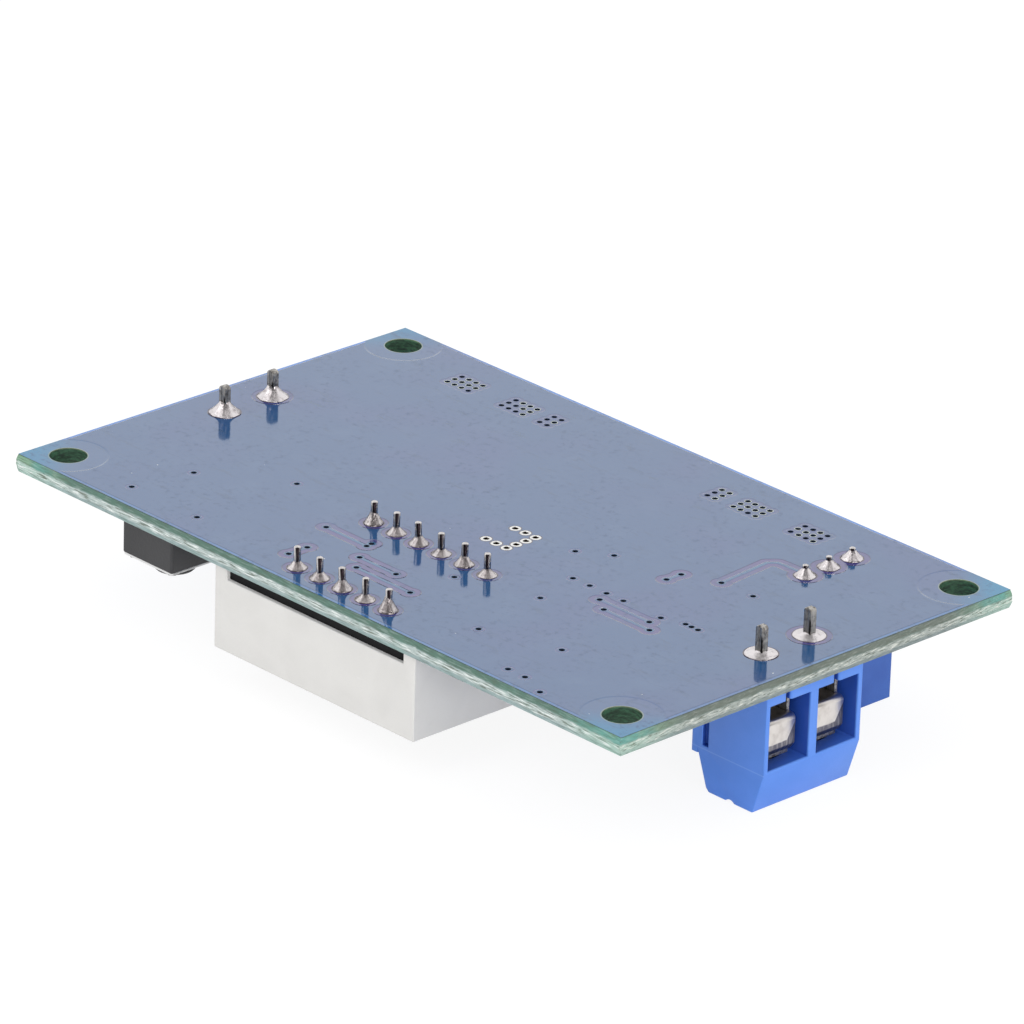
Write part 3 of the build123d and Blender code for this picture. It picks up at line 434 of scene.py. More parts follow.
LONE_VIAS = [
    (-15.53, -7.71), (-23.22, -17.95), (-22.25, -12.43), (-15.61, -17.93), (5.23, -10.38),
    (12.17, -8.03), (13.31, -15.46), (7.58, 0.01), (10.05, 1.74), (11.11, -3.62), (12.91, -3.59),
    (14.74, -3.6), (16.54, -3.58), (20.56, -3.58), (22.18, 4.56), (19.99, -13.27), (19.9, -18.67),
    (21.72, -18.67), (24.32, -19.63), (22.56, -2.95), (23.2, -2.96), (23.9, -2.97),
]
TRACES = [
    ((-7.89, -11.56), (-3.27, -11.59)),
    ((-5.97, -17.13), (-5.97, -15.24)),
    ((-2.04, -13.43), (2.02, -13.42)),
    ((-0.8, -14.89), (5.2, -14.9)),
    ((15.24, -4.8), (20.55, -4.78)),
    ((16.74, -5.82), (21.6, -5.79)),
    ((15.8, 1.68), (15.84, 3.2)),
    ((18.89, 4.47), (18.45, 9.78)),
    ((18.45, 9.78), (18.99, 10.43)),
    ((18.99, 10.43), (21.33, 10.55)),
]
TRACE_VIAS = [p for trace in TRACES[:7] for p in trace] + [(-3.35, -11.01), (18.89, 4.47)]
SMALL_VIAS = ROW_VIAS + LONE_VIAS + TRACE_VIAS
print("vias:", len(U_VIAS), "tinned,", len(SMALL_VIAS), "masked")

# %% [markdown]
# ## Distances as numbers
# The traces and the rings round the pins lie under the mask as steps in the copper, and a step is
# easiest to draw from a distance: how far is this spot from the nearest pin, or from the nearest trace.
# These helpers build that distance once and the mask uses it for colour, relief and gloss.

# %% Distance helpers
def length(dx, dy):
    return (dx * dx + dy * dy).root()


def from_point(f, x, y):
    return length(f.x - x, f.y - y)


def off_row(value, first, step, count):
    """How far a number is from the nearest of several evenly spaced ones."""
    index = ((value - first) / step).math("ROUND").high(0).low(count - 1)
    return value - first - index * step


def from_row(f, columns, y):
    """Distance to the nearest pin of a row along X."""
    return length(off_row(f.x, columns[0], PITCH, len(columns)), f.y - y)


def from_block(f, columns):
    """Distance to the nearest via of a block of three rows."""
    dx = off_row(f.x, columns[0], VIA_STEP, len(columns))
    return length(dx, off_row(f.y, ROWS[0], VIA_STEP, len(ROWS)))


def from_line(f, start, end):
    """Distance to a straight trace."""
    (x0, y0), (x1, y1) = start, end
    whole = math.hypot(x1 - x0, y1 - y0)
    ux, uy = (x1 - x0) / whole, (y1 - y0) / whole
    along = ((f.x - x0) * ux + (f.y - y0) * uy).high(0).low(whole)
    return length(f.x - x0 - along * ux, f.y - y0 - along * uy)


def from_corner_hole(f):
    return length(abs(f.x) - CORNER_X, abs(f.y) - CORNER_Y)


def corner_fade(f):
    """0 over most of the board and 1 at the very corners."""
    reach = (BOARD_LENGTH + BOARD_WIDTH) / 2
    return (abs(f.x) + abs(f.y)).step(reach - 7.5, reach)


def nearest(values):
    found = values[0]
    for value in values[1:]:
        found = found.low(value)
    return found


print("distance helpers ready")

# %% [markdown]
# ## The blue mask
# Solder mask is a glossy lacquer over copper. Seen this flat it mirrors the white room, so it looks
# lavender grey where copper backs it, mauve in the narrow gaps round pins and traces, and cyan at the very
# corners where light comes through the bare laminate. The gloss is two layers, a base and a coat, as one
# alone mirrors too little at this angle. The copper's steps are real relief: a step that faces the eye
# mirrors less and goes dark, one that faces away goes pale, and the lines in the photograph come from
# that.

# %% Colours and sizes of the mask
POUR = (0.026, 0.1, 0.26)
GAP = (0.078, 0.062, 0.24)
# Painted light: cyan at the very corners, for light coming through the bare laminate.
PAINTED_CORNER_LIGHT = (0.01, 0.25, 0.46)
BORDER = (0.035, 0.165, 0.42)
# Painted sheen: the border strip is a brighter blue on the two sides far from the camera.
PAINTED_FAR_SHEEN = (0.035, 0.21, 0.66)
TRACE = (0.035, 0.14, 0.3)
# Painted shade: a thin dark ring where the solder meets the mask.
SOLDER_FOOT_SHADE = (0.045, 0.02, 0.035)
COPPER_STEP = 0.045
SOFT = 0.07
CLEAR_R = 3.15
BORDER_WIDTH = 0.28
TRACE_HALF = 0.17
TRACE_GAP = 0.7
TRACE_END_GAP = 0.83
TINNED_R = 0.47
# For each pad, the radius of its solder and the radius of the gap round it.
DISPLAY_PAD = (0.78, 1.15)
TRIMMER_PAD = (0.89, 1.4)
TERMINAL_PADS = ((1.29, 1.34), (1.29, 1.75), (1.27, 1.34), (1.27, 1.65))


def pad_distances(f):
    """Distances from the rim of the nearest solder and from the end of the nearest gap round a pad."""
    pads = [(from_row(f, DISPLAY_COLUMNS, DISPLAY_FAR), *DISPLAY_PAD)]
    pads += [(from_row(f, DISPLAY_COLUMNS[1:], DISPLAY_NEAR), *DISPLAY_PAD)]
    pads += [(from_point(f, *pin), *TRIMMER_PAD) for pin in TRIMMER_PINS]
    pads += [(from_point(f, *pin), *pad) for pin, pad in zip(OUTPUT_PINS + INPUT_PINS, TERMINAL_PADS)]
    rims = [d - solder_r for d, solder_r, gap_r in pads]
    rims += [from_point(f, *via) - TINNED_R for via in U_VIAS]
    return nearest(rims), nearest([d - gap_r for d, solder_r, gap_r in pads])


print("pads on terminals:", len(TERMINAL_PADS))

# %% [markdown]
# The first step finds what lies under the lacquer. Each name that starts with is_ is 1 inside its area and
# 0 outside, and copper is the height of the relief.

# %% Finish: mask on the solder side, its copper
mask = Finish("blue_mask", IOR=1.85, Coat_Weight=0.5, Coat_Roughness=0.05, Coat_IOR=1.5)
solder_rim, pad_gap = pad_distances(mask)
lines = nearest([from_line(mask, *trace) for trace in TRACES])
ends = nearest([from_point(mask, *via) for via in TRACE_VIAS])
lone = nearest([from_point(mask, *via) for via in LONE_VIAS])
block = nearest([from_block(mask, columns) for columns in COLUMNS])
hole = from_corner_hole(mask)
border = (BOARD_LENGTH / 2 - abs(mask.x)).low(BOARD_WIDTH / 2 - abs(mask.y))
far_edge = (mask.x + BOARD_LENGTH / 2).low(BOARD_WIDTH / 2 - mask.y)

gap = nearest([pad_gap, lines - TRACE_GAP, ends - TRACE_END_GAP])
is_gap = gap.step(SOFT, -SOFT)
is_trace = lines.step(TRACE_HALF + SOFT, TRACE_HALF - SOFT).high(ends.step(0.42, 0.34))
is_moat = abs(lone - 0.46).step(0.1, 0.03)
is_island = block.step(0.68, 0.54)
is_tip = (abs(mask.x) - CORNER_X).low(abs(mask.y) - CORNER_Y).step(0.0, 0.2)
is_bare = (hole - CLEAR_R).step(0.11, -0.11).high(is_tip)
is_border = border.step(BORDER_WIDTH + SOFT, BORDER_WIDTH - SOFT)
copper = (1 - is_gap).high(is_trace) * (1 - is_bare) * (1 - is_border)
copper = copper - 0.35 * is_moat - 0.4 * (is_island - block.step(0.42, 0.34))
print("mask nodes for the copper:", len(mask.tree.nodes))

# %% [markdown]
# Then the colours are laid over one another: the copper and its gaps, painted shade lines at their edges,
# a painted sheen on the far border, painted light at the corners, clouds and stains in the lacquer, pits
# and dust on it, and a painted shade line where solder starts.

# %% Finish: mask on the solder side, its colours
cloud = mask.noise(0.3, 3)
haze = mask.noise(0.08, 2)
grain = mask.noise(2.2, 4, rough=0.65)
fine = mask.noise(9.0, 2)
stain = mask.noise(1.7, 4, rough=0.65).step(0.5, 0.7) * mask.noise(0.16, 3, rough=0.6).step(0.38, 0.58)
smear = mask.noise(0.9, 4, place=mask.stretched(0.35, 1.2, 1.0), rough=0.6)
dust = mask.specks(0.55, 0.05, 0.2)
pits = mask.specks(0.7, 0.05, 0.2)
lit_tip = is_bare * corner_fade(mask)
# Painted shade: thin dark lines along the copper's steps, the border strip and the via blocks, standing for
# the shading of the steps.
painted_border_shade = abs(border - BORDER_WIDTH - 0.05).step(0.06, 0.02) * (1 - is_bare)
painted_block_shade = abs(block - 0.63).step(0.07, 0.02) * 0.6
painted_edge_shade = abs(gap).step(0.09, 0.02).high(painted_block_shade) * (1 - is_bare)
drilled = hole.step(1.62, 1.56) * hole.step(1.48, 1.5)
mask.paint(
    POUR,
    (GAP, (is_gap + 0.7 * is_moat + 0.4 * is_island).low(1.0)),
    (TRACE, is_trace),
    ((0.035, 0.11, 0.27), is_bare),
    # Painted light: cyan at the very corners of the board.
    (PAINTED_CORNER_LIGHT, lit_tip),
    # A painted sheen: the border strip is brighter on its far sides.
    (mask.mix(BORDER, PAINTED_FAR_SHEEN, far_edge.step(0.45, 0.3)), is_border * (1 - is_bare)),
    # Painted shade lines along the border strip and the copper's steps.
    ((0.008, 0.03, 0.1), painted_border_shade * 0.6),
    ((0.04, 0.03, 0.11), painted_edge_shade * 0.6),
    ((0.014, 0.07, 0.2), grain.step(0.55, 0.8) * 0.5),
    ((0.05, 0.13, 0.29), cloud.step(0.45, 0.75) * 0.45),
    ((0.05, 0.08, 0.26), haze.step(0.45, 0.7) * 0.4),
    ((0.014, 0.075, 0.2), smear.step(0.56, 0.7) * 0.65),
    ((0.014, 0.065, 0.18), stain * 0.7),
    ((0.01, 0.03, 0.1), pits * 0.5),
    ((0.75, 0.78, 0.8), dust),
    ((0.3, 0.36, 0.2), drilled * 0.5),
    # Painted shade round the foot of the solder.
    (SOLDER_FOOT_SHADE, solder_rim.step(0.1, 0.03) * 0.85),
)
mask.link((0.045 + 0.06 * grain + 0.06 * smear + 0.03 * stain + 0.5 * dust).low(1.0), "Roughness")
mask.link(0.5 - 0.4 * lit_tip - 0.3 * stain, "Coat Weight")
mask.bump(copper + 0.05 * grain + 0.012 * fine + 0.2 * cloud + 0.02 * stain + 0.3 * dust, COPPER_STEP)
print("mask nodes:", len(mask.tree.nodes))

# %% [markdown]
# ## The broken edge of the laminate
# Boards are made many to a sheet, scored on both faces and snapped apart. The score leaves a smooth
# green bevel, and the snapped web between the bevels is a pale rough tear with glass fibres standing out
# of it. The mesh gets the bevels and the tear, and the finish gets the bands and the fibres.

# %% Finish: scored and broken laminate
SCORED = (0.11, 0.205, 0.165)

laminate = Finish("broken_laminate", Roughness=0.75, Specular_IOR_Level=0.35)
side = abs(laminate.x).step(BOARD_LENGTH / 2 - 0.1, BOARD_LENGTH / 2 - 0.02)
along = laminate.x + laminate.y
slant = laminate.node("CombineXYZ", [along * 0.45 + laminate.z * 0.8, laminate.z * 4.4, 0.0])
threads = laminate.noise(1.7, 3, place=slant, rough=0.5, warp=0.12)
short = laminate.node("CombineXYZ", [along * 0.8 - laminate.z * 1.2, laminate.z * 4.0, 0.0])
mottle = laminate.noise(1.7, 4, place=short, rough=0.6, warp=0.25)
fibre = threads + (mottle - threads) * side
streak = laminate.noise(1.0, 4, place=laminate.stretched(0.7, 0.7, 9.0), rough=0.6)
blotch = laminate.noise(0.35, 3)
level = laminate.z + (laminate.noise(0.6, 4, rough=0.6) - 0.5) * 0.4
upper = level.step(-0.68, -0.42)
web = level.step(-0.48, -0.7) * level.step(-1.24, -1.02)
# Painted light: greens and a pale cyan at the board's corners, for light coming through the laminate.
glow = corner_fade(laminate)


def by_side(on_long, on_short):
    """One colour on the long edges of the board and another on the short ones."""
    return laminate.mix(on_long, on_short, side)


laminate.paint(
    by_side((0.34, 0.45, 0.45), (0.25, 0.3, 0.3)),
    (SCORED, upper),
    ((0.165, 0.195, 0.17), upper * side),
    (by_side((0.52, 0.6, 0.58), (0.42, 0.46, 0.43)), (web * (0.45 + 0.9 * fibre)).low(1.0)),
    # Painted light at the corners of the board.
    (laminate.mix((0.24, 0.42, 0.28), (0.15, 0.41, 0.36), blotch.step(0.4, 0.6)), glow * upper * 0.9),
    ((0.46, 0.68, 0.57), glow * (1 - upper) * 0.6),
    (by_side((0.9, 0.95, 0.93), (0.74, 0.76, 0.7)), fibre.step(0.51, 0.64) * (0.12 + 0.75 * web)),
    ((0.13, 0.15, 0.11), fibre.step(0.47, 0.36) * (0.4 + 0.4 * web)),
    ((0.08, 0.14, 0.13), streak.step(0.56, 0.75) * 0.5),
    ((0.17, 0.36, 0.29), blotch.step(0.5, 0.75) * 0.3 * (1 - side)),
    ((0.04, 0.06, 0.05), laminate.specks(2.4, 0.09, 0.2) * 0.5),
    ((0.05, 0.08, 0.09), laminate.z.step(-0.1, -0.03) * 0.7),
)
laminate.bump(fibre + streak * 0.4, 0.12)
print("laminate nodes:", len(laminate.tree.nodes))

# %% [markdown]
# The corner holes show drilled laminate with rings round them, and the masked vias are dark and glossy, with
# painted shade deeper inside them.

# %% Finishes: walls of the holes
hole_wall = Finish("drilled_wall", Roughness=0.6)
turns = hole_wall.noise(1.2, 4, place=hole_wall.stretched(1.2, 1.2, 5.0), rough=0.65)
hole_wall.paint(
    (0.012, 0.04, 0.022),
    ((0.05, 0.16, 0.085), turns.step(0.35, 0.7)),
    ((0.3, 0.34, 0.2), hole_wall.z.step(-0.12, -0.02) * 0.5),
)
hole_wall.bump(turns, 0.06)

via_wall = Finish("plugged_via", Roughness=0.35, Coat_Weight=0.4)
via_wall.paint(
    (0.03, 0.05, 0.09),
    # Painted shade: near black deeper in the hole.
    ((0.003, 0.004, 0.008), via_wall.z.step(0.0, -0.25)),
    ((0.12, 0.06, 0.03), via_wall.noise(2.5).step(0.62, 0.75) * 0.3),
)
via_wall.bump(via_wall.noise(6.0), 0.02)
print("hole finishes ready")

# %% [markdown]
# ## The board
# A flat outline with all its holes is filled, then pulled down by the board's thickness. Each face gets
# the number of its finish.

# %% Make the flat board
WALL_STEP = 0.45
CORNERS = [(sx * CORNER_X, sy * CORNER_Y) for sx in (-1, 1) for sy in (-1, 1)]
# For each kind of hole, its places, its radius and its number of sides.
HOLES = (
    (CORNERS, CORNER_R, 64),
    (OUTPUT_PINS + INPUT_PINS, 0.65, 24),
    (FAR_PINS + NEAR_PINS, 0.4, 16),
    (TRIMMER_PINS, 0.45, 16),
    (U_VIAS, 0.25, 20),
    (SMALL_VIAS, SMALL_VIA_R, 16),
)
NEARLY = 0.01
TOP, UNDERSIDE, EDGE, CORNER_HOLE, SMALL_HOLE = range(5)


def on_rim(co):
    return abs(co.x) > BOARD_LENGTH / 2 - NEARLY or abs(co.y) > BOARD_WIDTH / 2 - NEARLY


bm = bmesh.new()
bmesh.ops.create_grid(bm, x_segments=1, y_segments=1, size=0.5)
bmesh.ops.scale(bm, vec=(BOARD_LENGTH, BOARD_WIDTH, 1), verts=bm.verts)
bmesh.ops.delete(bm, geom=bm.faces[:], context="FACES_ONLY")
long_sides = [e for e in bm.edges if abs(e.verts[0].co.y - e.verts[1].co.y) < 1e-4]
short_sides = [e for e in bm.edges if e not in long_sides]
bmesh.ops.subdivide_edges(bm, edges=long_sides, cuts=int(BOARD_LENGTH / WALL_STEP))
bmesh.ops.subdivide_edges(bm, edges=short_sides, cuts=int(BOARD_WIDTH / WALL_STEP))
for places, r, sides in HOLES:
    for x, y in places:
        made = bmesh.ops.create_circle(bm, cap_ends=False, segments=sides, radius=r)
        bmesh.ops.translate(bm, vec=(x, y, 0), verts=made["verts"])
bmesh.ops.triangle_fill(bm, use_beauty=True, edges=bm.edges[:], normal=(0, 0, 1))
grown = bmesh.ops.extrude_face_region(bm, geom=bm.faces[:])
pulled = [v for v in grown["geom"] if isinstance(v, bmesh.types.BMVert)]
bmesh.ops.translate(bm, vec=(0, 0, -BOARD_THICK), verts=pulled)
bmesh.ops.recalc_face_normals(bm, faces=bm.faces)
for face in bm.faces:
    middle = face.calc_center_median()
    if abs(face.normal.z) > 0.5:
        face.material_index = TOP if face.normal.z > 0 else UNDERSIDE
    elif on_rim(middle):
        face.material_index = EDGE
    else:
        near_corner = math.hypot(abs(middle.x) - CORNER_X, abs(middle.y) - CORNER_Y) < 2
        face.material_index = CORNER_HOLE if near_corner else SMALL_HOLE
print("flat board faces:", len(bm.faces))

# %% [markdown]
# The outer walls are cut at the heights where the score ends and pushed out by the V's shape, and the web
# between the bevels is roughened. Cutting after the pull keeps the faces few where nothing happens.

# %% Score and break its edges
CUTS = (-0.06, -0.3, -0.5, -0.62, -0.75, -0.88, -1.0, -1.25, -1.44)
SCORE_OUT = 0.15


def score_out(z):
    """How far the scored edge stands out at a height: bevel, web, bevel."""
    deep = min(-z, BOARD_THICK + z)
    return SCORE_OUT * min(deep / 0.5, 1.0)


def tear(run, z):
    """How far the break stands out, at a place along the edge and a height."""
    coarse = noise.noise(Vector((run * 1.7, z * 3.0, 3.1)))
    layered = noise.noise(Vector((run * 0.5, z * 9.0, 7.7)))
    share = 1.0 if -1.05 < z < -0.45 else 0.15
    return share * (0.05 * coarse + 0.05 * layered - 0.02)


for z in CUTS:
    walls = [f for f in bm.faces if f.material_index == EDGE]
    geom = list({e for f in walls for e in f.edges}) + list({v for f in walls for v in f.verts}) + walls
    bmesh.ops.bisect_plane(bm, geom=geom, plane_co=(0, 0, z), plane_no=(0, 0, 1))
for v in bm.verts:
    if on_rim(v.co) and -BOARD_THICK + NEARLY < v.co.z < -NEARLY:
        out = score_out(v.co.z) + tear(v.co.x + v.co.y, v.co.z)
        for axis, size in enumerate((BOARD_LENGTH, BOARD_WIDTH)):
            if abs(v.co[axis]) > size / 2 - NEARLY:
                v.co[axis] += math.copysign(out, v.co[axis])
print("board faces:", len(bm.faces))

# %% [markdown]
# ## The mask on the component side
# The same lacquer, seen more steeply when the part is turned over, so one gloss layer is enough. White
# outlines are printed round the components, as on any board. They are drawn from distances too, and
# there is no lettering.

# %% Finish: mask on the component side
PRINT = (0.72, 0.74, 0.74)
OUTLINES = [
    (-2.65, 13.4, 12.8, 12.8),
    (-18.85, 16.2, 9.0, 8.9),
    (13.55, 16.2, 9.0, 8.9),
    (10.3, 7.0, 8.6, 6.6),
    (-3.9, 1.3, 15.6, 11.0),
    (13.8, -0.55, 7.2, 7.6),
    (-20.5, -9.0, 5.2, 5.4),
    (29.6, 0.22, 8.0, 10.9),
    (-29.5, -0.05, 8.0, 10.9),
    (21.998, 13.11, 5.4, 10.1),
    (-19.35, -16.8, 8.6, 6.6),
    (0.35, -13.3, 22.9, 14.2),
]


def from_frame(f, x, y, w, h):
    """Distance to the line of a rectangle."""
    dx = abs(f.x - x) - w / 2
    dy = abs(f.y - y) - h / 2
    return abs(dx.high(dy))


under = Finish("blue_mask_under", Coat_Weight=1.0, Coat_Roughness=0.08)
printed = nearest([from_frame(under, *box) for box in OUTLINES]).step(0.11, 0.07)
track_place = under.node("VectorMath", [under.place, (1.3, 1.3, 1.3)], operation="SNAP")
veins = under.noise(0.22, 1, place=track_place).step(0.47, 0.53)
grain = under.noise(2.0, 4)
under.paint(
    (0.012, 0.06, 0.19),
    ((0.02, 0.095, 0.27), veins),
    ((0.008, 0.04, 0.13), grain.step(0.55, 0.8) * 0.5),
    ((0.01, 0.13, 0.3), (from_corner_hole(under) - CLEAR_R).step(SOFT, -SOFT)),
    (PRINT, printed),
)
under.link(0.15 + 0.5 * printed + 0.1 * grain, "Roughness")
under.bump(veins + 0.5 * printed + 0.1 * grain, 0.03)
finishes = [mask, under, laminate, hole_wall, via_wall]
piece("board", bm, *finishes, slot="board", stands_for=["circuit_board"], sharp=40)
print("board ready")

# %% [markdown]
# ## Solder, tin and worn metal
# Solder sets with a bright skin that is not quite smooth, so its reflections wander. Tinned wire keeps
# drawing marks along its length, and the folded pins were sheared from plated strip, so they are duller
# and darker at their worn tips. All are full metals and most of their look comes from the room, but pins
# and solder also get a painted dark reflection down their middle, and the via barrels painted shade inside.

# %% Finishes: solder and tinned metal
def metal(name, bright, dark, rough, streaks, relief, scale=1.0, deep=None, facing_shade=0.0):
    """A full metal with streaks along an axis and a slightly uneven skin.

    deep is a painted shade colour inside a hole, and the last argument is how much darker it is painted where
    it faces the eye, a painted dark reflection.
    """
    f = Finish(name, Metallic=1.0)
    along = f.noise(scale, 4, place=f.stretched(*streaks), rough=0.6)
    skin = f.noise(2.6 * scale, 4, rough=0.6)
    f.paint(bright, (dark, along.step(0.5, 0.78) * 0.8), (dark, skin.step(0.6, 0.85) * 0.6))
    # Painted dark reflection: darker where the surface faces the eye.
    if facing_shade:
        facing = f.node("LayerWeight", {"Blend": 0.5}, out="Facing")
        f.paint(f.tone, (dark, (facing + 0.5 * (along - 0.5)).step(0.28, 0.08) * facing_shade))
    # Painted shade: the deep colour below the board's top, inside the hole.
    if deep:
        f.paint(f.tone, (deep, f.z.step(0.012, -0.03)))
    f.link((rough + 0.22 * skin * along + 0.1 * along).low(1.0), "Roughness")
    f.bump(along * 0.6 + skin, relief)
    return f


# Painted shade for the inside of the open vias.
VIA_HOLE_SHADE = (0.03, 0.018, 0.01)
solder = metal(
    "bright_solder", (0.78, 0.74, 0.75), (0.3, 0.25, 0.25), 0.18, (2, 2, 1.2), 0.06, 1.1, facing_shade=0.35
)
dipped = metal("dipped_solder", (0.68, 0.64, 0.64), (0.14, 0.1, 0.1), 0.2, (3, 3, 1.2), 0.07, 1.3, facing_shade=0.55)
flat_solder = metal("grey_solder", (0.84, 0.8, 0.81), (0.45, 0.42, 0.43), 0.28, (1.5, 1.5, 3.0), 0.09, 1.2)
barrel_tin = metal("via_tin", (0.9, 0.9, 0.88), (0.6, 0.56, 0.54), 0.2, (2, 2, 2), 0.03, 1.5, VIA_HOLE_SHADE)
wire = metal("tinned_wire", (0.74, 0.71, 0.7), (0.025, 0.018, 0.022), 0.18, (7.0, 7.0, 0.5), 0.06, facing_shade=1.0)
strip = metal("sheared_strip", (0.55, 0.53, 0.5), (0.1, 0.08, 0.07), 0.36, (5, 5, 0.7), 0.07, 1.3, facing_shade=0.3)
plated = metal("nickel_plate", (0.84, 0.82, 0.8), (0.62, 0.6, 0.6), 0.16, (3.0, 0.4, 3.0), 0.015)
cover_steel = metal("stamped_cover", (0.74, 0.74, 0.74), (0.5, 0.5, 0.5), 0.25, (0.4, 4.0, 1.0), 0.01)
spring = metal("rolled_spring", (0.6, 0.6, 0.6), (0.4, 0.4, 0.4), 0.22, (0.5, 5.0, 1.0), 0.01)
tin_legs = metal("matte_tin", (0.72, 0.71, 0.7), (0.5, 0.48, 0.46), 0.32, (1.0, 1.0, 1.0), 0.02, 2.0)
brass = metal("turned_brass", (0.78, 0.58, 0.24), (0.5, 0.34, 0.12), 0.2, (0.5, 0.5, 9.0), 0.012)
can_metal = metal("drawn_aluminium", (0.76, 0.77, 0.78), (0.6, 0.61, 0.62), 0.25, (0.6, 0.6, 6.0), 0.01)
print("metals ready")

# %% [markdown]
# Two metals carry more. The terminals' pins are strip folded over, and a painted dark reflection runs as
# a line up the half nearest the board, down each pin's middle as the camera sees it. The cans have a band of
# black ink on their tops, at the side of the minus lead.

# %% Paint the dark reflection streaks and the ink
TERMINAL_PITCH = 5.08
# The middle of the two terminals' places, and how far each terminal is from it.
MIDDLE_X, MIDDLE_Y = 29.835, 0.085
SHIFT_X, SHIFT_Y = 0.047, 0.135
CAN_Y = 16.2


def at_terminal(f):
    """Which end the place is at, and how far it is from the middle of the terminal there and of its pole."""
    end = f.x.math("SIGN")
    dx = abs(f.x) - MIDDLE_X - SHIFT_X * end
    dy = f.y - MIDDLE_Y - SHIFT_Y * end
    return end, dx, dy, dy - TERMINAL_PITCH / 2 * dy.math("SIGN")


end, dx, _, off_y = at_terminal(strip)
waver = 0.12 * (strip.noise(1.5, 3) - 0.5)
# Painted dark reflection: a dark line down the middle of each terminal pin as the camera sees it.
painted_dark_streak = abs(dx * end * ACROSS[0] + off_y * ACROSS[1] + waver).step(0.11, 0.05) * strip.z.step(1.7, 1.2)
worn = strip.noise(2.5, 3, rough=0.7).step(0.5, 0.62)
strip.paint(strip.tone, ((0.09, 0.075, 0.07), worn * 0.6), ((0.006, 0.005, 0.006), painted_dark_streak * 0.95))
can_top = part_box("capacitor_cans")[0].z / MM
ink = can_metal.z.step(can_top + 0.3, can_top + 0.26) * (can_metal.y - CAN_Y).step(1.3, 1.36)
can_metal.paint(can_metal.tone, ((0.02, 0.02, 0.022), ink * 0.95))
print("seams and ink drawn")

# %% [markdown]
# ## Solder on the pins
# Hand-dipped solder climbs each pin to its own height and spreads to the edge of its pad. Each cone is a
# concave profile spun round the pin, then pushed a little in and out so that no two are the same. The
# terminal pins have a wide pad, so on one terminal the solder lies flat, and on the other it stands up.

# %% Make the solder
def cone_profile(base, pin, height, curve):
    steps = 9
    points = [(base, -0.02), (base, 0.03)]
    for i in range(1, steps + 1):
        t = i / steps
        points.append((pin + (base - pin) * (1 - t) ** curve, 0.03 + (height - 0.03) * t))
    return points + [(pin * 0.6, height)]


def rumple(verts, x, y, amount, seed, ribs):
    """Pushes vertices in and out round the upright axis at x, y."""
    for v in verts:
        dx, dy = v.co.x - x, v.co.y - y
        if math.hypot(dx, dy) < 0.02:
            continue
        angle = math.atan2(dy, dx)
        wave = noise.noise(Vector((math.cos(angle) * 1.4, math.sin(angle) * 1.4, seed + v.co.z * 0.6)))
        push = amount * wave + ribs * math.sin(angle * 9 + seed * 5)
        v.co.x += dx * push
        v.co.y += dy * push


def soldered(part, form, finish, pins, heights, shape, seeds, rough=0.08, ribs=0.0):
    """A piece with solder on every pin; shape is the radius of rim and pin and the curve's power."""
    base, pin, curve = shape
    first, step = seeds
    bm = bmesh.new()
    for i, ((x, y), height) in enumerate(zip(pins, heights)):
        made = spun(bm, x, y, cone_profile(base, pin, height, curve), 32)
        rumple(made, x, y, rough, first + step * i, ribs)
    piece(f"{part}_solder_{form}", bm, finish, slot="solder", stands_for=[part + "_solder"], sharp=50)


DISPLAY_PINS = FAR_PINS + NEAR_PINS
DISPLAY_HEIGHTS = (0.95, 0.6, 0.7, 0.5, 0.8, 0.55, 0.62, 0.62, 0.82, 0.5, 1.1)
TRIMMER_HEIGHTS = (0.68, 0.62, 0.72)
soldered("display", "beads", dipped, DISPLAY_PINS, DISPLAY_HEIGHTS, (0.765, 0.26, 1.35), (0, 1.7), ribs=0.03)
soldered("trimmer", "beads", solder, TRIMMER_PINS, TRIMMER_HEIGHTS, (0.87, 0.24, 1.25), (31, 2.3), ribs=0.025)
soldered("output", "discs", flat_solder, OUTPUT_PINS, (0.3, 0.3), (1.26, 0.36, 1.9), (51, 3.1), rough=0.05)
soldered("input", "cones", solder, INPUT_PINS, (1.0, 1.0), (1.25, 0.4, 1.5), (71, 3.7), 0.05, 0.03)
print("solder ready")

# %% [markdown]
# ## Solder at the feet of the parts
# The parts on the other side sit on printed paste that melts into a low bank round each foot. The feet are
# found in the CAD solids themselves: each separate shell is taken, and its lowest part gets a bank that is
# wide on the board and narrows towards the metal.

# %% Solder the feet
FOOT_BANK = 0.5
FOOT_HEIGHT = 0.17
FOOT_EASE = 0.12
FOOTED = ("converter_legs", "converter_tab", "rectifier_legs", "driver_legs", "regulator_legs")
FOOTED += ("chip_capacitor_ends", "chip_resistor_ends", "capacitor_leads", "inductor_clips")


def shells(bm):
    """The separate bodies of a mesh, each as a list of vertices."""
    left = set(bm.verts)
    while left:
        shell, waiting = [], [left.pop()]
        while waiting:
            v = waiting.pop()
            shell.append(v)
            found = [e.other_vert(v) for e in v.link_edges if e.other_vert(v) in left]
            left.difference_update(found)
            waiting.extend(found)
        yield shell


def solder_bank(bm, low, high):
    """A low block of solder between two corners, narrower at its free side."""
    wide = high - low
    made = bmesh.ops.create_cube(bm, size=1.0)["verts"]
    bmesh.ops.scale(bm, vec=(wide.x + FOOT_BANK, wide.y + FOOT_BANK, FOOT_HEIGHT), verts=made)
    free = [v for v in made if v.co.z < 0]
    narrow = [(size + FOOT_EASE) / (size + FOOT_BANK) for size in (wide.x, wide.y)]
    bmesh.ops.scale(bm, vec=(*narrow, 1), verts=free)
    middle = (low + high) / 2
    bmesh.ops.translate(bm, vec=(middle.x, middle.y, -BOARD_THICK - FOOT_HEIGHT / 2 + 0.02), verts=made)


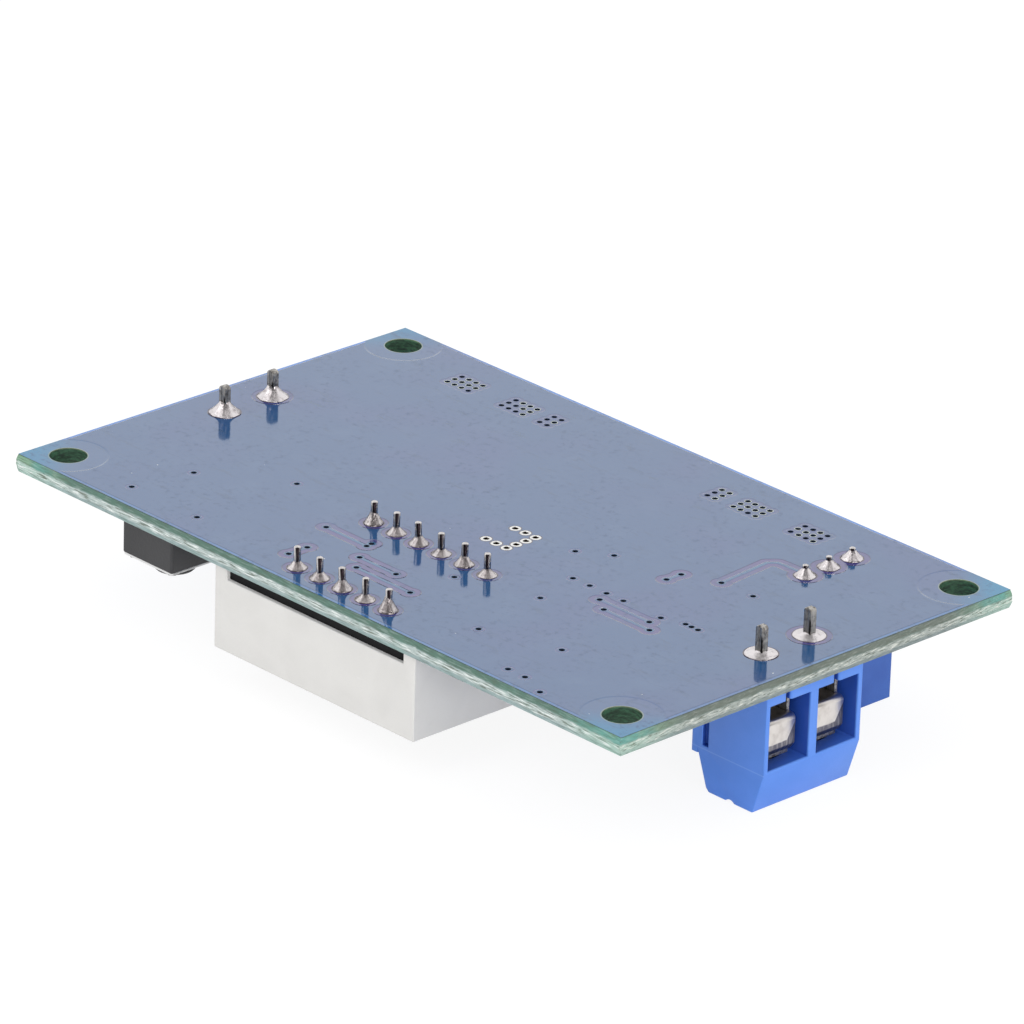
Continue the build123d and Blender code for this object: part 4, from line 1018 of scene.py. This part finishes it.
bm = bmesh.new()
banks = 0
for name in FOOTED:
    legs = merged_copy(name)
    for shell in shells(legs):
        feet = [v.co for v in shell if v.co.z > -BOARD_THICK - 0.15]
        if not feet:
            continue
        low = Vector((min(c.x for c in feet), min(c.y for c in feet), 0))
        high = Vector((max(c.x for c in feet), max(c.y for c in feet), 0))
        solder_bank(bm, low, high)
        banks += 1
    legs.free()
bmesh.ops.bevel(bm, geom=bm.edges[:], offset=0.04, segments=2, profile=0.5, affect="EDGES")
piece("solder_feet", bm, flat_solder, slot="solder", sharp=60)
print("feet soldered:", banks)

# %% [markdown]
# ## Vias
# Eight vias in a U carry heat and are open: a tinned ring and a tinned barrel. The many small ones are
# covered with mask, which dips into them, and on some it has pulled back and left a pale rim.

# %% Make the open vias
RING = [(0.24, -1.5), (0.24, 0.0), (0.28, 0.035), (0.38, 0.04), (0.465, -0.01), (0.256, -0.01), (0.256, -1.5)]
bm = bmesh.new()
for x, y in U_VIAS:
    spun(bm, x, y, RING, 24, closed=True)
piece("via_rings", bm, barrel_tin, slot="solder", sharp=50)
print("open vias:", len(U_VIAS))

# %% [markdown]
# The table of pale rims is read off the photograph, block by block and row by row, with an x for a rim.

# %% Make the pale rims
RIM = [(0.236, -0.004), (0.243, 0.012), (0.272, 0.012), (0.3, -0.01)]
RIMMED = (
    (".x", ".x", "xx"),
    ("xx.x", "xxxx", "xxxx"),
    (".x.x", "xxx.", "..x."),
    ("xxx.", "xxxx", ".xxx"),
    ("...x", "..xx", ".xxx"),
    ("..", ".x", ".."),
)
rim_finish = Finish("pulled_back_rim", Roughness=0.35, Coat_Weight=0.6)
speck = rim_finish.noise(3.0, 3)
rim_finish.paint((0.66, 0.72, 0.62), ((0.4, 0.48, 0.46), speck.step(0.4, 0.7)))
rim_finish.bump(speck, 0.02)
bm = bmesh.new()
rims = 0
for columns, marks in zip(COLUMNS, RIMMED):
    for y, line in zip(ROWS, marks):
        for x, mark in zip(columns, line):
            if mark == "x":
                spun(bm, x, y, RIM, 16)
                rims += 1
piece("via_rims", bm, rim_finish, slot="board", sharp=60)
print("vias with pale rims:", rims)

# %% [markdown]
# ## Pins
# The display's pins are round wire, cut off with a small worn tip, and the trimmer's are short stubs.
# The terminals' pins are folded strip and keep their CAD shape with the edges rounded.

# %% Make the pins
def wire_pin(bm, x, y, r, top, bottom, lean=(0, 0)):
    """A round pin with a small worn tip, leaning a little above the board."""
    tip = r * 0.28
    profile = [(0.0, bottom), (r, bottom), (r, 0.5), (r, top - tip), (r - tip * 0.4, top - tip * 0.35)]
    profile += [(r - tip * 1.1, top), (0.0, top - 0.01)]
    for v in spun(bm, x, y, profile, 24):
        up = max(v.co.z, 0.0)
        v.co.x += lean[0] * up
        v.co.y += lean[1] * up


bm = bmesh.new()
for i, (x, y) in enumerate(DISPLAY_PINS):
    lean = (0.03 * math.sin(i * 2.1), 0.03 * math.cos(i * 1.3))
    wire_pin(bm, x, y, 0.27, 1.8 - 0.04 * abs(math.sin(i * 1.7)), -4.1, lean)
piece("display_pin_wires", bm, wire, slot="tinned", stands_for=["display_pins"], sharp=55)
bm = bmesh.new()
for x, y in TRIMMER_PINS:
    wire_pin(bm, x, y, 0.25, 0.9, -3.5)
piece("trimmer_pin_stubs", bm, wire, slot="tinned", stands_for=["trimmer_pins"], sharp=55)
for name in ("output", "input"):
    softened(name + "_contacts", strip, 0.05, "tinned")
print("pins ready")

# %% [markdown]
# ## Moulded plastics
# Moulded parts share one recipe: a base colour with faint flow marks, a very fine grain, a few light
# scuffs, and a gloss that changes a little from place to place. Only colour, gloss and grain differ.

# %% Finishes: plastics, resin, ceramic
def moulded(name, colour, shadow, rough, grain, scuff=None, scale=1.0, **constants):
    """A moulded finish: colour with flow marks in its shadow colour, grain depth in mm, and scuffs."""
    f = Finish(name, **constants)
    flow = f.noise(0.25 * scale, 3, warp=0.6)
    fine = f.noise(5.0 * scale, 3, rough=0.6)
    marks = f.noise(0.9 * scale, 5, place=f.stretched(0.5, 3.0, 2.2), rough=0.7).step(0.66, 0.72)
    f.paint(colour, (shadow, flow.step(0.35, 0.75) * 0.6), (shadow, fine.step(0.5, 0.8) * 0.35))
    if scuff:
        f.paint(f.tone, (scuff, marks * 0.35), (scuff, f.specks(0.5, 0.03, 0.12) * 0.8))
    f.link(rough + 0.14 * flow + 0.12 * marks, "Roughness")
    f.bump(fine + 0.6 * flow, grain)
    return f


BLUE_SCUFF = (0.24, 0.42, 0.84)
PALE_SCUFF = (0.16, 0.16, 0.165)
blue = moulded(
    "blue_nylon", (0.115, 0.285, 0.84), (0.09, 0.25, 0.76), 0.34, 0.01, BLUE_SCUFF, Specular_IOR_Level=0.42
)
trimmer_blue = moulded("trimmer_case", (0.04, 0.135, 0.5), (0.03, 0.1, 0.42), 0.38, 0.014, (0.15, 0.28, 0.6))
pale = moulded("pale_case", (0.74, 0.73, 0.71), (0.68, 0.67, 0.65), 0.42, 0.012, (0.82, 0.81, 0.8))
resin = moulded(
    "dark_resin", (0.007, 0.007, 0.008), (0.003, 0.003, 0.004), 0.5, 0.03, scale=0.6, Specular_IOR_Level=0.15
)
seal = moulded("seal_resin", (0.03, 0.03, 0.035), (0.015, 0.015, 0.02), 0.3, 0.05, scale=0.8)
film = moulded("face_film", (0.022, 0.022, 0.026), (0.015, 0.015, 0.018), 0.22, 0.004)
milky = moulded("light_bars", (0.78, 0.79, 0.79), (0.66, 0.67, 0.68), 0.3, 0.006)
black = moulded("black_plastic", (0.035, 0.035, 0.038), (0.022, 0.022, 0.024), 0.42, 0.02, (0.12, 0.12, 0.12))
package = moulded("chip_package", (0.028, 0.028, 0.03), (0.016, 0.016, 0.018), 0.5, 0.03, (0.08, 0.08, 0.085))
ferrite = moulded("sintered_ferrite", (0.07, 0.07, 0.075), (0.04, 0.04, 0.044), 0.55, 0.06, PALE_SCUFF)
ceramic = moulded("white_ceramic", (0.8, 0.79, 0.76), (0.7, 0.69, 0.66), 0.45, 0.02)
tan = moulded("tan_ceramic", (0.42, 0.29, 0.17), (0.33, 0.22, 0.12), 0.4, 0.02)
lens_resin = moulded(
    "clear_lens", (0.86, 0.87, 0.8), (0.8, 0.8, 0.7), 0.08, 0.004, Transmission_Weight=0.5, IOR=1.5
)
print("plastics ready")

# %% [markdown]
# Inside the wire openings and grooves of the terminals the nylon gets a painted shade, and a fine pale line
# runs round the body where the halves of the mould met.

# %% Paint shade into the terminals' insides
PAINTED_INSIDE_SHADE = (0.016, 0.07, 0.42)
PARTING_Z = -8.15

_, deep_x, dy, _ = at_terminal(blue)
wide_y = abs(dy)
# Painted shade in the wire openings and grooves.
mouth = deep_x.step(0.6, 0.8) * deep_x.step(3.22, 3.08) * wide_y.step(4.98, 4.9) * blue.z.step(-8.05, -7.85)
groove = wide_y.step(4.4, 4.5) * wide_y.step(5.04, 4.98) * deep_x.step(-1.6, -1.8)
parting = abs(blue.z - PARTING_Z).step(0.06, 0.02) * wide_y.step(5.0, 5.06)
blue.paint(blue.tone, (PAINTED_INSIDE_SHADE, mouth.high(groove * 0.8) * 0.92), ((0.3, 0.5, 0.95), parting * 0.35))
print("insides darkened")

# %% [markdown]
# ## Clamp leaves and the winding
# The clamp leaves are bright strip. Below a slanting line they carry a painted reflection of the dark
# opening, in streaks that follow the bend. The winding is enamelled copper, with a wave for its turns.

# %% Finishes: bent leaf and enamelled wire
leaf_metal = Finish("bent_leaf", Metallic=1.0)
*_, off_y = at_terminal(leaf_metal)
rise = 1.7 * (off_y - 0.6).high(0.0)
ribbed = leaf_metal.noise(1.2, 3, place=leaf_metal.stretched(1.0, 5.0, 0.6))
skin = leaf_metal.noise(1.4, 3)
# Painted reflection: dark streaks below a slanting line stand for the dark opening mirrored in the leaf.
painted_opening_reflection = (leaf_metal.z - rise + (skin - 0.5) * 0.2).step(-6.32, -6.4)
leaf_metal.paint(
    (0.74, 0.7, 0.67),
    ((0.6, 0.56, 0.53), skin.step(0.4, 0.75)),
    ((0.09, 0.07, 0.07), leaf_metal.specks(0.9, 0.07, 0.12) * 0.8),
    (leaf_metal.mix((0.1, 0.1, 0.14), (0.3, 0.29, 0.31), ribbed.step(0.45, 0.7)), painted_opening_reflection * 0.9),
)
leaf_metal.link(0.26 + 0.1 * skin + 0.1 * painted_opening_reflection, "Roughness")
leaf_metal.bump(skin + 0.3 * ribbed, 0.012)

enamel = Finish("enamelled_wire", Metallic=1.0, Roughness=0.28, Coat_Weight=0.6)
wave = {"Vector": enamel.place, "Scale": 1.25, "Distortion": 0.3, "Detail": 1.0}
turns = enamel.node("TexWave", wave, out="Fac", bands_direction="Z")
enamel.paint((0.3, 0.09, 0.03), ((0.72, 0.3, 0.13), turns))
enamel.bump(turns, 0.12)
print("leaf and wire finishes ready")

# %% [markdown]
# ## Rounded housings
# The CAD solids have perfect edges, and no moulding has. Each case is copied, its triangles merged back
# into whole faces, and a Bevel modifier rounds the edges by less than a tenth of a millimetre, which is
# enough to catch a line of light.

# %% Soften the cases
CASES = []
for name in ("output", "input"):
    CASES.append((name + "_housing", blue, 0.08, "terminal_blue"))
    CASES += [(f"{name}_leaf_{i}", leaf_metal, 0.07, "plated_steel", 3, f"{name}_clamp_{i}") for i in (1, 2)]
CASES += [
    ("display_housing", pale, 0.09, "pale_plastic"),
    ("trimmer_housing", trimmer_blue, 0.09, "trimmer_blue"),
    ("button_base", black, 0.07, "black_plastic"),
    ("button_cover", cover_steel, 0.05, "plated_steel"),
    ("capacitor_bases", black, 0.1, "black_plastic"),
    ("converter_body", package, 0.08, "black_plastic"),
    ("rectifier_body", package, 0.08, "black_plastic"),
    ("regulator_body", package, 0.07, "black_plastic"),
    ("driver_body", package, 0.06, "black_plastic"),
    ("inductor_sleeve", ferrite, 0.15, "ferrite"),
    ("inductor_base", black, 0.08, "black_plastic"),
    ("chip_capacitors", tan, 0.06, "chip_tan"),
]
for case in CASES:
    softened(*case)
print("cases rounded:", len(CASES))

# %% [markdown]
# ## Finishes for the remaining CAD solids
# Solids whose shape is right as it is stay, and only get a finish. The record says which material each
# has, so most of this is a table.

# %% Give the kept solids their finish
KEPT = {
    resin: ["display_filling"],
    milky: ["display_bars"],
    film: ["display_face"],
    seal: ["trimmer_seal"],
    ceramic: ["trimmer_strip", "light_bases"],
    black: ["trimmer_wheel", "button_plunger"],
    brass: ["trimmer_screw"],
    spring: ["button_dome"],
    ferrite: ["inductor_core"],
    enamel: ["inductor_winding"],
    can_metal: ["capacitor_cans"],
    package: ["chip_resistors"],
    lens_resin: ["light_lenses"],
    plated: ["output_screw_1", "output_screw_2", "input_screw_1", "input_screw_2"],
    tin_legs: ["button_contacts", *FOOTED],
}
for finish, names in KEPT.items():
    for name in names:
        for place in nodes[name].material_slots:
            place.material = finish.material
dressed = sum(KEPT.values(), [])
left_over = [n for n, o in nodes.items() if not o.hide_render and n not in dressed]
print("nodes without a finish:", left_over)

# %% Update the scene
bpy.context.view_layer.update()
